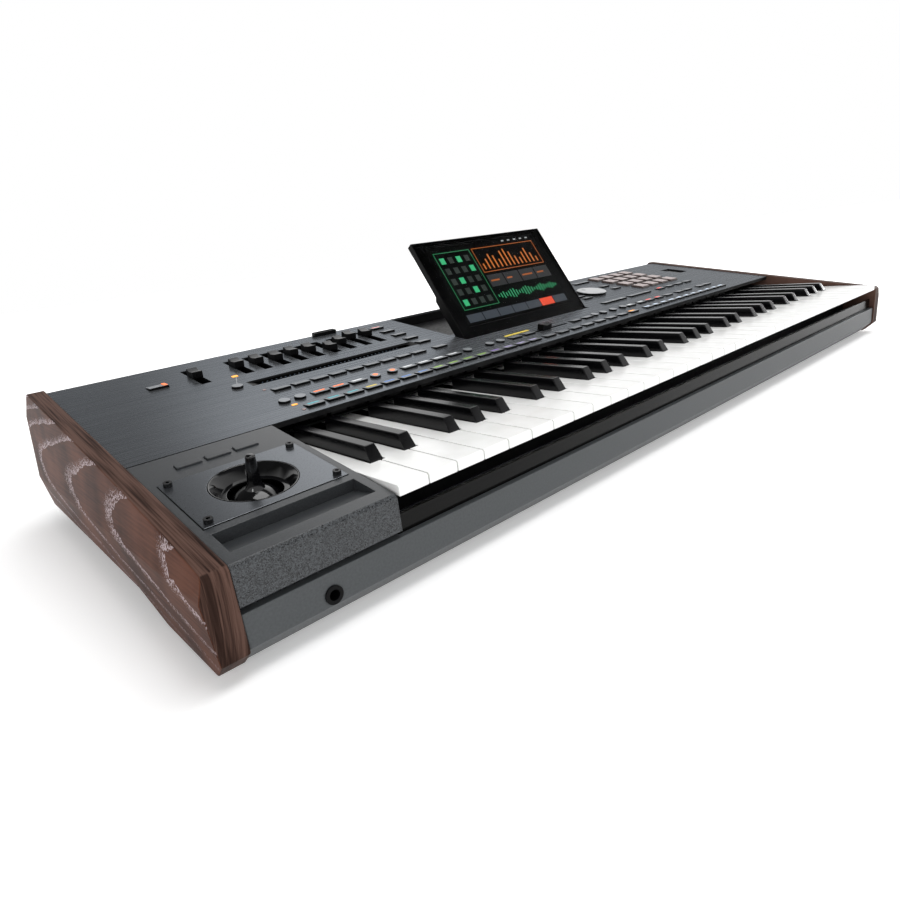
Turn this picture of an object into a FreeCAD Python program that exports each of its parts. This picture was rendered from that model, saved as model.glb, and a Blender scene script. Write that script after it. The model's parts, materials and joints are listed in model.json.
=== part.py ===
import FreeCAD, Part
import math
import os
import re
import Sketcher

# Arranger keyboard with 61 keys, a sloping control panel, a folding screen and wooden cheeks.
# Millimetres, +X to the player's right, +Y to the rear, +Z up, origin on the floor below the middle.

OCTAVES = 5
WHITE_KEYS = 36
PADS_ACROSS = 4
COLUMN_BUTTONS = 5
# Cutters run past the faces that they cut by this much.
OVER = 1.0

SIZES = {
    # Body and cheeks
    "rear_slope": 24.02,
    "key_top_height": 68.0,
    "cheek_lead": 1.0,
    "cheek_thick": 14.0,
    "cheek_proud": 1.2,
    "front_flare": 4.2,
    "rear_flare": 7.6,
    "cheek_drop": 1.2,
    "crease_front": 51.0,
    "crease_rear": 42.7,
    "nose_chamfer": 2.2,
    "toe_chamfer": 11.0,
    "rear_chamfer": 21.0,
    "belly_height": 5.0,
    "rear_belly_height": 15.0,
    "belly_end": 83.0,
    "rise_length": 43.0,
    "fit_gap": 0.2,
    # Sheet metal
    "tray_thick": 2.0,
    "rear_inset": 3.0,
    "rear_thick": 2.0,
    "rail_top": 36.0,
    "rail_knee": 16.0,
    "rail_setback": 0.5,
    "rail_bevel": 11.0,
    "rail_sheet": 2.5,
    "rail_inner_bevel": 1.0,
    "rail_foot": 30.0,
    "rail_shelf": 34.0,
    "slip_setback": 5.0,
    "slip_thick": 3.0,
    "slip_height": 12.5,
    "slip_foot": 14.0,
    # Control panel
    "panel_tilt": 8.7,
    "panel_step": 17.7,
    "rear_margin": 16.8,
    "panel_thick": 2.0,
    "panel_lip": 4.5,
    "hole_gap": 0.3,
    # Keys
    "key_pitch": 23.6,
    "key_gap": 1.0,
    "key_side_gap": 1.35,
    "key_visible": 147.5,
    "key_wall": 1.6,
    "key_top_thick": 2.5,
    "white_lip": 7.0,
    "white_nose": 1.2,
    "lip_length": 20.0,
    "key_skirt": 12.0,
    "black_width": 10.2,
    "black_top_width": 8.4,
    "black_height": 10.0,
    "black_start": 49.6,
    "black_slope": 6.2,
    "black_clearance": 1.0,
    "black_cover": 4.0,
    "pivot_back": 215.0,
    "rod_radius": 2.5,
    "rod_drop": 8.0,
    "pivot_clearance": 0.25,
    "key_tail": 7.0,
    "key_web": 5.0,
    # Key frame and contact board
    "frame_plate": 1.5,
    "frame_wall": 3.0,
    "frame_leg": 2.5,
    "front_leg_back": 60.0,
    "rear_leg_back": 200.0,
    "stop_back": 38.0,
    "stop_depth": 6.0,
    "stop_height": 11.0,
    "contact_back": 100.0,
    "contact_depth": 50.0,
    "contact_rise": 4.5,
    "board_thick": 1.6,
    # Control block
    "plate_margin": 5.35,
    "block_bottom": 40.0,
    "block_nose": 2.0,
    "block_rear_gap": 1.0,
    "block_plinth": 6.0,
    "block_wall": 3.0,
    "block_top_wall": 4.5,
    "block_solid": 38.0,
    "scoop_inset": 1.1,
    "scoop_start": 12.0,
    "scoop_length": 22.0,
    "scoop_depth": 8.0,
    "scoop_lip": 1.5,
    "switch_width": 16.2,
    "switch_depth": 6.6,
    "switch_rise": 1.2,
    "switch_pitch": 19.8,
    "switch_back": 22.7,
    # Joystick
    "plate_width": 91.7,
    "plate_length": 67.6,
    "plate_back": 74.2,
    "plate_thick": 2.5,
    "plate_proud": 0.5,
    "plate_ledge": 8.0,
    "bowl_radius": 27.0,
    "bowl_bore": 24.0,
    "bowl_floor_radius": 20.5,
    "bowl_depth": 7.6,
    "bowl_floor": 1.5,
    "bowl_chamfer": 2.2,
    "bowl_hole": 17.0,
    "bowl_flat": 15.0,
    "stick_pivot": 23.0,
    "dome_radius": 19.3,
    "dome_rim": 9.5,
    "stick_foot_radius": 4.0,
    "stick_tip_radius": 2.8,
    "stick_height": 17.5,
    "stick_shaft": 3.5,
    "stick_tail": 6.0,
    "ring_radius": 12.0,
    "ring_bore": 8.0,
    "ring_height": 5.0,
    "trunnion_radius": 1.5,
    "pin_shy": 0.4,
    "running_gap": 0.08,
    "base_half": 25.0,
    "base_height": 8.0,
    "base_post": 5.4,
    "screw_head_radius": 2.7,
    "screw_head_height": 2.6,
    "screw_socket": 1.3,
    "screw_shank_radius": 1.5,
    "screw_shank": 6.0,
    "screw_inset": 5.0,
    # Headphone jack and rear sockets
    "jack_height": 22.3,
    "jack_flange": 5.6,
    "jack_proud": 1.0,
    "jack_barrel": 4.6,
    "jack_bore": 3.25,
    "jack_length": 22.0,
    "jack_wall": 2.0,
    "jack_body_half": 5.0,
    "socket_height": 48.0,
    "socket_flange": 8.5,
    "socket_barrel": 7.5,
    "socket_proud": 1.5,
    "socket_pitch": 30.0,
    "socket_start": 70.0,
    "midi_bore": 6.0,
    "midi_depth": 9.0,
    "usb_width": 12.0,
    "usb_height": 11.0,
    "usb_wall": 1.2,
    "usb_depth": 16.0,
    "usb_place": 220.0,
    "inlet_width": 27.0,
    "inlet_height": 20.0,
    "inlet_wall": 2.5,
    "inlet_depth": 17.0,
    "inlet_place": 380.0,
    # Buttons
    "button_width": 15.3,
    "button_depth": 9.0,
    "button_front": 2.1,
    "button_rear": 0.6,
    "button_stem": 9.0,
    "control_pitch": 19.07,
    "round_radius": 4.8,
    "round_rise": 2.1,
    "first_row": 14.2,
    "second_step": 21.7,
    "third_step": 31.9,
    "column_rear": 24.0,
    "column_pitch": 20.5,
    "pad_size": 20.0,
    "pad_rise": 2.6,
    "pad_taper": 1.2,
    "pad_pitch": 26.0,
    "pad_wall_gap": 114.35,
    "pad_front_gap": 14.7,
    "power_width": 16.4,
    "power_depth": 11.0,
    "power_left": 35.8,
    "power_back": 19.5,
    "round_left": 27.8,
    "round_back": 6.0,
    # Sliders
    "slider_pitch": 19.19,
    "slider_left": -326.4,
    "master_left": -367.8,
    "slot_rear_gap": 23.8,
    "slot_length": 49.5,
    "slot_width": 9.2,
    "well_depth": 5.0,
    "well_wall": 1.2,
    "slit_width": 2.8,
    "stem_width": 1.8,
    "stem_length": 8.0,
    "stem_drop": 9.5,
    "cap_width": 9.3,
    "cap_length": 15.0,
    "cap_height": 6.8,
    "cap_seat": 0.3,
    "cap_front": 6.6,
    "saddle_height": 5.2,
    "saddle_back": 7.0,
    "grip_front": 2.2,
    "grip_back": 0.6,
    "fader_slot_left": -33.6,
    "fader_slot_length": 55.0,
    "fader_slot_width": 3.4,
    "fader_width": 8.5,
    "fader_place": -18.5,
    # Data wheel
    "wheel_gap": 58.2,
    "wheel_rise": 23.5,
    "wheel_radius": 20.5,
    "wheel_height": 3.2,
    "wheel_lift": 0.8,
    "wheel_bevel": 0.8,
    "dimple_radius": 4.2,
    "dimple_depth": 1.2,
    "dimple_floor": 2.5,
    "dimple_left": 5.75,
    "dimple_back": 10.0,
    "shaft_radius": 3.0,
    "shaft_length": 9.0,
    "encoder_half": 8.0,
    "encoder_height": 8.0,
    # Windows and rest clips
    "strip_left": -335.5,
    "strip_length": 174.0,
    "strip_gap": 22.8,
    "strip_depth": 14.2,
    "strip_slope": 7.0,
    "trough_depth": 2.5,
    "window_wall": 1.2,
    "window_lap": 2.0,
    "window_right": 33.5,
    "window_width": 25.0,
    "window_rise": 18.0,
    "window_depth": 35.0,
    "clip_place": 203.0,
    "clip_width": 28.0,
    "clip_depth": 7.0,
    "clip_rise": 4.2,
    "clip_slot": 2.4,
    # Screen
    "screen_width": 215.0,
    "screen_end_gap": 0.4,
    "screen_heel": 4.5,
    "screen_face": 4.0,
    "screen_thick": 7.0,
    "hump_length": 56.0,
    "hump_thick": 10.5,
    "hump_slope": 4.0,
    "screen_raise": 47.0,
    "hinge_inset": 6.6,
    "pin_radius": 2.0,
    "pin_length": 14.0,
    "glass_rim": 1.0,
    "glass_thick": 1.5,
    "display_side": 17.5,
    "display_margin": 5.6,
    "display_start": 14.0,
    "display_thick": 3.0,
    "bay_gap": 1.0,
    "bay_front": 68.0,
    "bay_clear": 2.0,
    "deck_wall": 1.2,
    # Boards inside
    "panel_board_drop": 14.0,
    "panel_board_start": 12.0,
    "panel_board_inset": 9.0,
    "panel_board_end": 8.0,
    "board_clear": 4.0,
    "post_size": 6.0,
    "main_board_left": -310.0,
    "main_board_width": 260.0,
    "main_board_back": 240.0,
    "main_board_depth": 95.0,
    "standoff": 6.0,
    "chip_size": 28.0,
    "chip_height": 4.0,
    "supply_left": 230.0,
    "supply_width": 150.0,
    "supply_back": 245.0,
    "supply_depth": 95.0,
    "supply_height": 40.0,
    "supply_wall": 1.2,
    "vent_width": 3.5,
    "vent_length": 60.0,
    "vent_pitch": 12.0,
    # Feet
    "foot_length": 37.0,
    "foot_width": 12.5,
    "foot_taper": 2.0,
    "foot_heel": 26.0,
    "front_foot_back": 48.0,
    "rear_foot_back": 342.0,
    "foot_out": 7.0,
}

# Places that follow from the sizes. Panel places are measured along and square to the sloping panel.
PLACES = {
    "body_depth": "cheek_lead + key_visible + panel_length*cos(panel_tilt) + rear_slope + rear_inset",
    "panel_length": f"pad_row + {PADS_ACROSS - 1}*pad_pitch + pad_size/2 + rear_margin",
    "block_width": "plate_width + 2*plate_margin",
    "scoop_width": "plate_width - 2*scoop_inset",
    "inner_half": f"(block_width + 2*key_side_gap + {WHITE_KEYS}*key_pitch)/2",
    "block_right": "block_width - inner_half",
    "block_middle": "block_width/2 - inner_half",
    "key_left": "block_width + key_side_gap - inner_half",
    "key_right": f"key_left + {WHITE_KEYS}*key_pitch",
    "front": "cheek_lead - body_depth/2",
    "rear": "body_depth/2",
    "panel_y": "front + key_visible",
    "panel_z": "key_top_height + panel_step",
    "panel_rear_y": "panel_y + panel_length*cos(panel_tilt)",
    "panel_rear_z": "panel_z + panel_length*sin(panel_tilt)",
    "rear_lip_y": "panel_rear_y + fit_gap + rear_thick*sqrt(2)*sin(panel_tilt)",
    "rear_bend_z": "panel_rear_z - (rear_face - rear_lip_y)",
    "nose_z": "panel_z - (key_visible + cheek_lead)*tan(panel_tilt) + cheek_proud",
    "tail_z": "nose_z + body_depth*tan(panel_tilt)",
    "rear_face": "rear - rear_inset",
    "tray_end": "rear_face - rear_thick - fit_gap",
    "tray_front_top": "belly_height + tray_thick",
    "tray_rear_top": "rear_belly_height + tray_thick",
    "shelf_z": "rail_top - rail_sheet",
    "pivot_y": "front + pivot_back",
    "rod_z": "key_top_height - rod_drop",
    "fork_half": "rod_radius + pivot_clearance",
    "notch": "black_start - black_clearance",
    "hinge_back": "bay_front + hinge_inset",
    "hinge_drop": "screen_face",
    "hinge_y": "panel_y + hinge_back*cos(panel_tilt) + hinge_drop*sin(panel_tilt)",
    "hinge_z": "panel_z + hinge_back*sin(panel_tilt) - hinge_drop*cos(panel_tilt)",
    "bay_half": "screen_width/2 + bay_gap",
    "deck_half": "bay_half + deck_wall",
    "bay_depth": "hump_thick + bay_clear",
    "screen_length": "panel_length - hinge_back + screen_heel - deck_wall - screen_end_gap",
    "display_width": "screen_width - 2*display_side",
    "display_length": "screen_length - screen_heel - display_start - display_margin",
    "plate_top": "plate_proud",
    "bowl_under": "bowl_depth + bowl_floor - plate_proud",
    "base_bore_half": "base_half - base_post",
    "second_row": "first_row + second_step",
    "third_row": "second_row + third_step",
    "pad_row": "third_row + button_depth/2 + pad_front_gap + pad_size/2",
    "pad_left": f"inner_half - pad_wall_gap - pad_size/2 - {PADS_ACROSS - 1}*pad_pitch",
    "column_row": f"panel_length - column_rear - {COLUMN_BUTTONS - 1}*column_pitch",
    "slot_start": "panel_length - slot_rear_gap - slot_length",
    "slot_middle": "slot_start + slot_length/2",
    "strip_row": "slot_start - strip_gap - strip_depth",
    "wheel_place": "pad_left - pad_size/2 - wheel_gap - wheel_radius",
    "wheel_row": "pad_row + wheel_rise",
    "window_row": "pad_row + window_rise",
    "small_window_left": "inner_half - window_right - window_width",
    "button_bottom": "0 - panel_thick - button_stem",
}

doc = FreeCAD.newDocument("arranger_keyboard")
dim = doc.addObject("Spreadsheet::Sheet", "dim")
for row, (alias, number) in enumerate(SIZES.items(), start=1):
    dim.set(f"A{row}", alias)
    dim.set(f"B{row}", str(number))
    dim.setAlias(f"B{row}", alias)
doc.recompute()

nodes = []


def formula(text):
    """Write a sum of named sizes and places as an expression on the sheet."""
    def spell(match):
        word = match.group()
        if word in PLACES:
            return f"({formula(PLACES[word])})"
        return f"dim.{word}" if word in SIZES else word
    return re.sub(r"[a-z]+(?:_[a-z]+)*", spell, str(text))


def bind(thing, prop, text):
    thing.setExpression(prop, formula(text))


def span(middle, half):
    """Low and high formulas on either side of a middle."""
    return f"{middle} - ({half})", f"{middle} + ({half})"


def place(thing, x=0, y=0, z=0):
    for axis, text in zip("xyz", (x, y, z)):
        bind(thing, f"Placement.Base.{axis}", text)
    return thing


def turned(axis, angle):
    return FreeCAD.Placement(FreeCAD.Vector(), FreeCAD.Rotation(FreeCAD.Vector(axis), angle))


def block(name, x, y, z):
    """Rectangular block between low and high formulas on each axis."""
    solid = doc.addObject("Part::Box", name)
    for prop, (low, high) in zip(("Length", "Width", "Height"), (x, y, z)):
        bind(solid, prop, f"{high} - ({low})")
    return place(solid, x[0], y[0], z[0])


def rod(name, axis, radius, start, length):
    """Cylinder along x, y or z from its start point."""
    solid = doc.addObject("Part::Cylinder", name)
    turn = {"x": ((0, 1, 0), 90), "y": ((1, 0, 0), -90), "z": ((0, 0, 1), 0)}[axis]
    solid.Placement = turned(*turn)
    bind(solid, "Radius", radius)
    bind(solid, "Height", length)
    return place(solid, *start)


def cone(name, low_radius, high_radius, start, length):
    solid = doc.addObject("Part::Cone", name)
    bind(solid, "Radius1", low_radius)
    bind(solid, "Radius2", high_radius)
    bind(solid, "Height", length)
    return place(solid, *start)


def frustum(name, low, high, y, rise):
    """Block that narrows upwards. low and high are (x low, x high, y low, y high) at foot and top."""
    solid = doc.addObject("Part::Wedge", name)
    solid.Placement = turned((1, 0, 0), 90)
    for mark, (left, right, near, far) in (("", low), ("2", high)):
        bind(solid, f"X{mark}min", left)
        bind(solid, f"X{mark}max", right)
        bind(solid, f"Z{mark}min", f"0 - ({far})")
        bind(solid, f"Z{mark}max", f"0 - ({near})")
    bind(solid, "Ymin", rise[0])
    bind(solid, "Ymax", rise[1])
    return place(solid, 0, y, 0)


def sketch(name, outline, placement):
    """Closed outline of straight lines, each corner held at its two formulas."""
    drawing = doc.addObject("Sketcher::SketchObject", name)
    drawing.Placement = placement
    count = len(outline)
    turn = 2 * math.pi / count
    ring = [FreeCAD.Vector(math.cos(turn * i), math.sin(turn * i), 0) for i in range(count)]
    for i in range(count):
        drawing.addGeometry(Part.LineSegment(ring[i], ring[(i + 1) % count]))
    for i in range(count):
        drawing.addConstraint(Sketcher.Constraint("Coincident", i, 2, (i + 1) % count, 1))
    for i, corner in enumerate(outline):
        for kind, text in zip(("DistanceX", "DistanceY"), corner):
            index = drawing.addConstraint(Sketcher.Constraint(kind, -1, 1, i, 1, 1.0))
            bind(drawing, f"Constraints[{index}]", text)
    return drawing


def prism(name, outline, x):
    """Outline in y and z drawn out along x."""
    drawing = sketch(f"{name}_outline", outline, turned((1, 1, 1), 120))
    bind(drawing, "Placement.Base.x", x[0])
    solid = doc.addObject("Part::Extrusion", name)
    solid.Base = drawing
    solid.DirMode = "Normal"
    solid.Solid = True
    bind(solid, "LengthFwd", f"{x[1]} - ({x[0]})")
    return solid


def group(name, shapes):
    solid = doc.addObject("Part::Compound", name)
    solid.Links = shapes
    return solid


def cut(name, base, tools):
    solid = doc.addObject("Part::Cut", name)
    solid.Base = base
    solid.Tool = tools[0] if len(tools) == 1 else group(f"{name}_tools", tools)
    return solid


def fuse(name, shapes):
    solid = doc.addObject("Part::MultiFuse", name)
    solid.Shapes = shapes
    solid.Refine = True
    return solid


def common(name, shapes):
    solid = doc.addObject("Part::MultiCommon", name)
    solid.Shapes = shapes
    return solid


def shifted(name, shape, x=0, y=0, z=0):
    return place(group(name, [shape]), x, y, z)


def on_panel(thing):
    """Lay a piece that was drawn flat on the sloping panel plane."""
    thing.Placement = turned((1, 0, 0), 1)
    bind(thing, "Placement.Rotation.Angle", "panel_tilt")
    return place(thing, 0, "panel_y", "panel_z")


def node(thing, name):
    thing.Label = name
    nodes.append(thing)
    return thing


# Cheeks: the side outline of the body, cut from a plank whose outer face swells to a crease.

CHEEK_TOP_SPARE = 30


def plank_section(name, depth, top, crease, flare):
    """Section of the cheek plank across x, seen from the front."""
    slope = f"{flare}/({top} - ({crease}))"
    outline = [
        ("0 - inner_half", "0 - cheek_thick"),
        ("0 - inner_half - cheek_thick", "0 - cheek_thick"),
        (f"0 - inner_half - cheek_thick - {flare}", crease),
        (f"0 - inner_half - cheek_thick + {CHEEK_TOP_SPARE}*{slope}", f"{top} + {CHEEK_TOP_SPARE}"),
        ("0 - inner_half", f"{top} + {CHEEK_TOP_SPARE}"),
    ]
    drawing = sketch(name, outline, turned((1, 0, 0), 90))
    bind(drawing, "Placement.Base.y", depth)
    return drawing


plank = doc.addObject("Part::Loft", "cheek_plank")
plank.Sections = [
    plank_section("plank_front", "0 - body_depth/2", "nose_z", "crease_front", "front_flare"),
    plank_section("plank_rear", "rear", "tail_z", "crease_rear", "rear_flare"),
]
plank.Solid = True
plank.Ruled = True
cheek_side = prism("cheek_side", [
    ("0 - body_depth/2", "rail_knee - cheek_drop"),
    ("0 - body_depth/2", "nose_z - nose_chamfer"),
    ("nose_chamfer - body_depth/2", "nose_z + nose_chamfer*tan(panel_tilt)"),
    ("rear - rear_chamfer", "tail_z - rear_chamfer*tan(panel_tilt)"),
    ("rear", "tail_z - rear_chamfer*tan(panel_tilt) - rear_chamfer"),
    ("rear", "crease_rear"),
    ("rear - rear_inset", "rear_belly_height - cheek_drop"),
    ("front + belly_end + rise_length", "rear_belly_height - cheek_drop"),
    ("front + belly_end", "belly_height - cheek_drop"),
    ("front + toe_chamfer", "belly_height - cheek_drop"),
], ("0 - inner_half - cheek_thick - front_flare - rear_flare", "0 - inner_half"))
left_cheek = node(common("left_cheek", [plank, cheek_side]), "left_cheek")
right_cheek = doc.addObject("Part::Mirroring", "right_cheek")
right_cheek.Source = left_cheek
right_cheek.Normal = (1, 0, 0)
node(right_cheek, "right_cheek")

# Body sheet: bottom tray, rear panel, front rail and key slip, all between the cheeks.

BETWEEN_CHEEKS = ("fit_gap - inner_half", "inner_half - fit_gap")
node(prism("bottom_tray", [
    ("front + rail_foot + fit_gap", "belly_height"),
    ("front + belly_end", "belly_height"),
    ("front + belly_end + rise_length", "rear_belly_height"),
    ("tray_end", "rear_belly_height"),
    ("tray_end", "tray_rear_top"),
    ("front + belly_end + rise_length", "tray_rear_top"),
    ("front + belly_end", "tray_front_top"),
    ("front + rail_foot + fit_gap", "tray_front_top"),
], BETWEEN_CHEEKS), "bottom_tray")

rear_sheet = prism("rear_sheet", [
    ("rear_face", "rear_belly_height"),
    ("rear_face", "rear_bend_z"),
    ("rear_lip_y", "panel_rear_z"),
    ("rear_lip_y", "panel_rear_z - rear_thick*sqrt(2)"),
    ("rear_face - rear_thick", "rear_bend_z - rear_thick*(sqrt(2) - 1)"),
    ("rear_face - rear_thick", "rear_belly_height"),
], BETWEEN_CHEEKS)

JACK_SOCKETS = 4
MIDI_SOCKETS = 2
socket_places = [f"0 - socket_start - {i}*socket_pitch" for i in range(JACK_SOCKETS + MIDI_SOCKETS)]
BEHIND_REAR = "rear_face + socket_proud"
socket_holes = [
    rod(f"socket_hole_{i}", "y", "socket_barrel + fit_gap", (x, "rear_face - 2*rear_thick", "socket_height"),
        "4*rear_thick")
    for i, x in enumerate(socket_places)
]
usb_hole = block("usb_hole", span("usb_place", "usb_width/2 + usb_wall + fit_gap"),
                 ("rear_face - 2*rear_thick", "rear_face + rear_thick"),
                 span("socket_height", "usb_height/2 + usb_wall + fit_gap"))
inlet_hole = block("inlet_hole",
                   span("inlet_place", "inlet_width/2 + inlet_wall + fit_gap"),
                   ("rear_face - 2*rear_thick", "rear_face + rear_thick"),
                   span("socket_height", "inlet_height/2 + inlet_wall + fit_gap"))
node(cut("rear_panel", rear_sheet, socket_holes + [usb_hole, inlet_hole]), "rear_panel")


def round_socket(name, x, bore, depth):
    """Round socket with a flange outside the rear panel and a blind bore."""
    inner_end = f"{BEHIND_REAR} - {depth} - jack_wall"
    flange = rod(f"{name}_flange", "y", "socket_flange", (x, "rear_face", "socket_height"), "socket_proud")
    barrel = rod(f"{name}_barrel", "y", "socket_barrel", (x, inner_end, "socket_height"),
                 f"{depth} + jack_wall")
    hollow = rod(f"{name}_bore", "y", bore, (x, f"{BEHIND_REAR} - {depth}", "socket_height"), depth)
    return cut(name, fuse(f"{name}_body", [flange, barrel]), [hollow])


def box_socket(name, x, width, height, wall, depth):
    """Rectangular socket: a box through the rear panel, open to the rear."""
    def shell(part, spare, near, far):
        return block(f"{name}_{part}", span(x, f"{width}/2 + {spare}"), (near, far),
                     span("socket_height", f"{height}/2 + {spare}"))
    outer = shell("outer", wall, f"{BEHIND_REAR} - {depth} - {wall}", BEHIND_REAR)
    flange = shell("flange", f"2*{wall}", "rear_face", BEHIND_REAR)
    hollow = shell("hollow", 0, f"{BEHIND_REAR} - {depth}", BEHIND_REAR)
    return cut(name, fuse(f"{name}_body", [outer, flange]), [hollow])


sockets = []
for i, x in enumerate(socket_places[:JACK_SOCKETS]):
    sockets.append(round_socket(f"jack_{i}", x, "jack_bore", "jack_length"))
for i, x in enumerate(socket_places[JACK_SOCKETS:]):
    sockets.append(round_socket(f"midi_{i}", x, "midi_bore", "midi_depth"))
sockets.append(box_socket("usb", "usb_place", "usb_width", "usb_height", "usb_wall", "usb_depth"))
sockets.append(box_socket("inlet", "inlet_place", "inlet_width", "inlet_height", "inlet_wall", "inlet_depth"))
node(group("rear_sockets", sockets), "rear_sockets")

rail_bar = prism("rail_bar", [
    ("front + rail_setback", "rail_top"),
    ("front + rail_setback", "rail_knee"),
    ("front + rail_setback + rail_bevel", "belly_height"),
    ("front + rail_foot", "belly_height"),
    ("front + rail_foot", "belly_height + rail_sheet"),
    ("front + rail_setback + rail_bevel + rail_inner_bevel", "belly_height + rail_sheet"),
    ("front + rail_setback + rail_sheet", "rail_knee + rail_inner_bevel"),
    ("front + rail_setback + rail_sheet", "shelf_z"),
    ("front + rail_shelf", "shelf_z"),
    ("front + rail_shelf", "rail_top"),
], BETWEEN_CHEEKS)
jack_face = "front + rail_setback - jack_proud"
jack_back = "front + rail_setback + rail_sheet"
JACK = ("block_middle", jack_face, "jack_height")
jack_hole = rod("jack_hole", "y", "jack_barrel + fit_gap", JACK, "jack_proud + 2*rail_sheet")
node(cut("front_rail", rail_bar, [jack_hole]), "front_rail")

jack_whole = fuse("jack_whole", [
    rod("jack_ring", "y", "jack_flange", JACK, "jack_proud"),
    rod("jack_neck", "y", "jack_barrel", JACK, "jack_proud + 2*rail_sheet"),
    block("jack_body", span("block_middle", "jack_body_half"),
          (jack_back, f"{jack_face} + jack_length + jack_wall"),
          span("jack_height", "jack_body_half")),
])
jack_hollow = rod("jack_hollow", "y", "jack_bore", JACK, "jack_length")
node(cut("headphone_jack", jack_whole, [jack_hollow]), "headphone_jack")

node(prism("key_slip", [
    ("front + slip_setback", "rail_top"),
    ("front + slip_setback", "rail_top + slip_height"),
    ("front + slip_setback + slip_thick", "rail_top + slip_height"),
    ("front + slip_setback + slip_thick", "rail_top + slip_thick"),
    ("front + slip_setback + slip_foot", "rail_top + slip_thick"),
    ("front + slip_setback + slip_foot", "rail_top"),
], ("block_right + fit_gap", "inner_half - fit_gap")), "key_slip")

# Keys: hollow mouldings that rock on one rod at the rear. All keys of one note name form one node.

WHITE_NOTES = ("c", "d", "e", "f", "g", "a", "b")
BLACK_MIDDLES = {
    "c_sharp": "3/5*1.5",
    "d_sharp": "3/5*3.5",
    "f_sharp": "3 + 4/7*1.5",
    "g_sharp": "3 + 4/7*3.5",
    "a_sharp": "3 + 4/7*5.5",
}
LEFT_SHARP = {"d": "c_sharp", "e": "d_sharp", "g": "f_sharp", "a": "g_sharp", "b": "a_sharp"}
RIGHT_SHARP = {"c": "c_sharp", "d": "d_sharp", "f": "f_sharp", "g": "g_sharp", "a": "a_sharp"}
key_end = "pivot_y + fork_half + key_tail"
skirt_z = "key_top_height - key_skirt"
FORK = [
    (key_end, "key_top_height"),
    (key_end, skirt_z),
    ("pivot_y + fork_half", skirt_z),
    ("pivot_y + fork_half", "rod_z + fork_half"),
    ("pivot_y - fork_half", "rod_z + fork_half"),
    ("pivot_y - fork_half", skirt_z),
]
WHITE_OUTLINE = [
    ("front", "key_top_height - white_lip"),
    ("front", "key_top_height - white_nose"),
    ("front + white_nose", "key_top_height"),
    *FORK,
    ("front + lip_length + key_skirt - white_lip", skirt_z),
    ("front + lip_length", "key_top_height - white_lip"),
]
BLACK_OUTLINE = [
    ("front + black_start", "key_top_height"),
    *FORK,
    ("front + black_start + key_wall", skirt_z),
]
HOLLOW_Z = (f"{skirt_z} - {OVER}", "key_top_height - key_top_thick")
NOTCH_Y = ("front + notch", f"{key_end} + {OVER}")
NOTCH_Z = (f"{skirt_z} - {OVER}", f"key_top_height + {OVER}")
HOLLOW_END = "pivot_y - fork_half - key_web"
BLACK_GAP = "(black_width/2 + black_clearance)"


def white_key(name, slot, left_sharp, right_sharp):
    """White key in its slot, notched at the rear beside the black keys."""
    left = f"key_left + {slot}*key_pitch + key_gap/2"
    right = f"key_left + {slot + 1}*key_pitch - key_gap/2"
    tools = []
    neck_left = left
    neck_right = right
    if left_sharp:
        neck_left = f"key_left + ({BLACK_MIDDLES[left_sharp]})*key_pitch + {BLACK_GAP}"
        tools.append(block(f"{name}_left_notch", (f"{left} - key_gap", neck_left), NOTCH_Y, NOTCH_Z))
    if right_sharp:
        neck_right = f"key_left + ({BLACK_MIDDLES[right_sharp]})*key_pitch - {BLACK_GAP}"
        tools.append(block(f"{name}_right_notch", (neck_right, f"{right} + key_gap"), NOTCH_Y, NOTCH_Z))
    tools.append(block(f"{name}_head_hollow", (f"{left} + key_wall", f"{right} - key_wall"),
                       ("front + 2*key_wall", "front + notch - key_wall"), HOLLOW_Z))
    tools.append(block(f"{name}_neck_hollow", (f"{neck_left} + key_wall", f"{neck_right} - key_wall"),
                       ("front + notch - 2*key_wall", HOLLOW_END), HOLLOW_Z))
    return cut(name, prism(f"{name}_bar", WHITE_OUTLINE, (left, right)), tools)


def black_key(name, middle):
    """Black key: a tapered cap on a hollow bar between the white keys."""
    centre = f"key_left + ({middle})*key_pitch"
    low = f"{centre} - black_width/2"
    high = f"{centre} + black_width/2"
    side = prism(f"{name}_side", BLACK_OUTLINE, (low, high))
    hollow_y = ("front + black_start + 2*key_wall", HOLLOW_END)
    hollow = block(f"{name}_hollow", (f"{low} + key_wall", f"{high} - key_wall"), hollow_y, HOLLOW_Z)
    top_low, top_high = span(centre, "black_top_width/2")
    cap_end = "key_visible + black_cover"
    cap = frustum(f"{name}_cap", (low, high, "black_start", cap_end),
                  (top_low, top_high, "black_start + black_slope", cap_end),
                  "front", ("key_top_height", "key_top_height + black_height"))
    return fuse(name, [cut(f"{name}_bar", side, [hollow]), cap])


def octave_row(name, first, extra=()):
    """The first key of a note with its copies in the higher octaves."""
    copies = [shifted(f"{name}_{i}", first, f"7*{i}*key_pitch") for i in range(1, OCTAVES)]
    node(group(f"{name}_keys", [first, *copies, *extra]), f"{name}_keys")


for slot, note in enumerate(WHITE_NOTES):
    key = white_key(f"{note}_key", slot, LEFT_SHARP.get(note), RIGHT_SHARP.get(note))
    last = [white_key("top_c_key", WHITE_KEYS - 1, None, None)] if note == "c" else []
    octave_row(note, key, last)
for note, middle in BLACK_MIDDLES.items():
    octave_row(note, black_key(f"{note}_key", middle))

# Key frame: a steel shelf on two legs, with the wall that carries the pivot rod, and the contact board.

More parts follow.
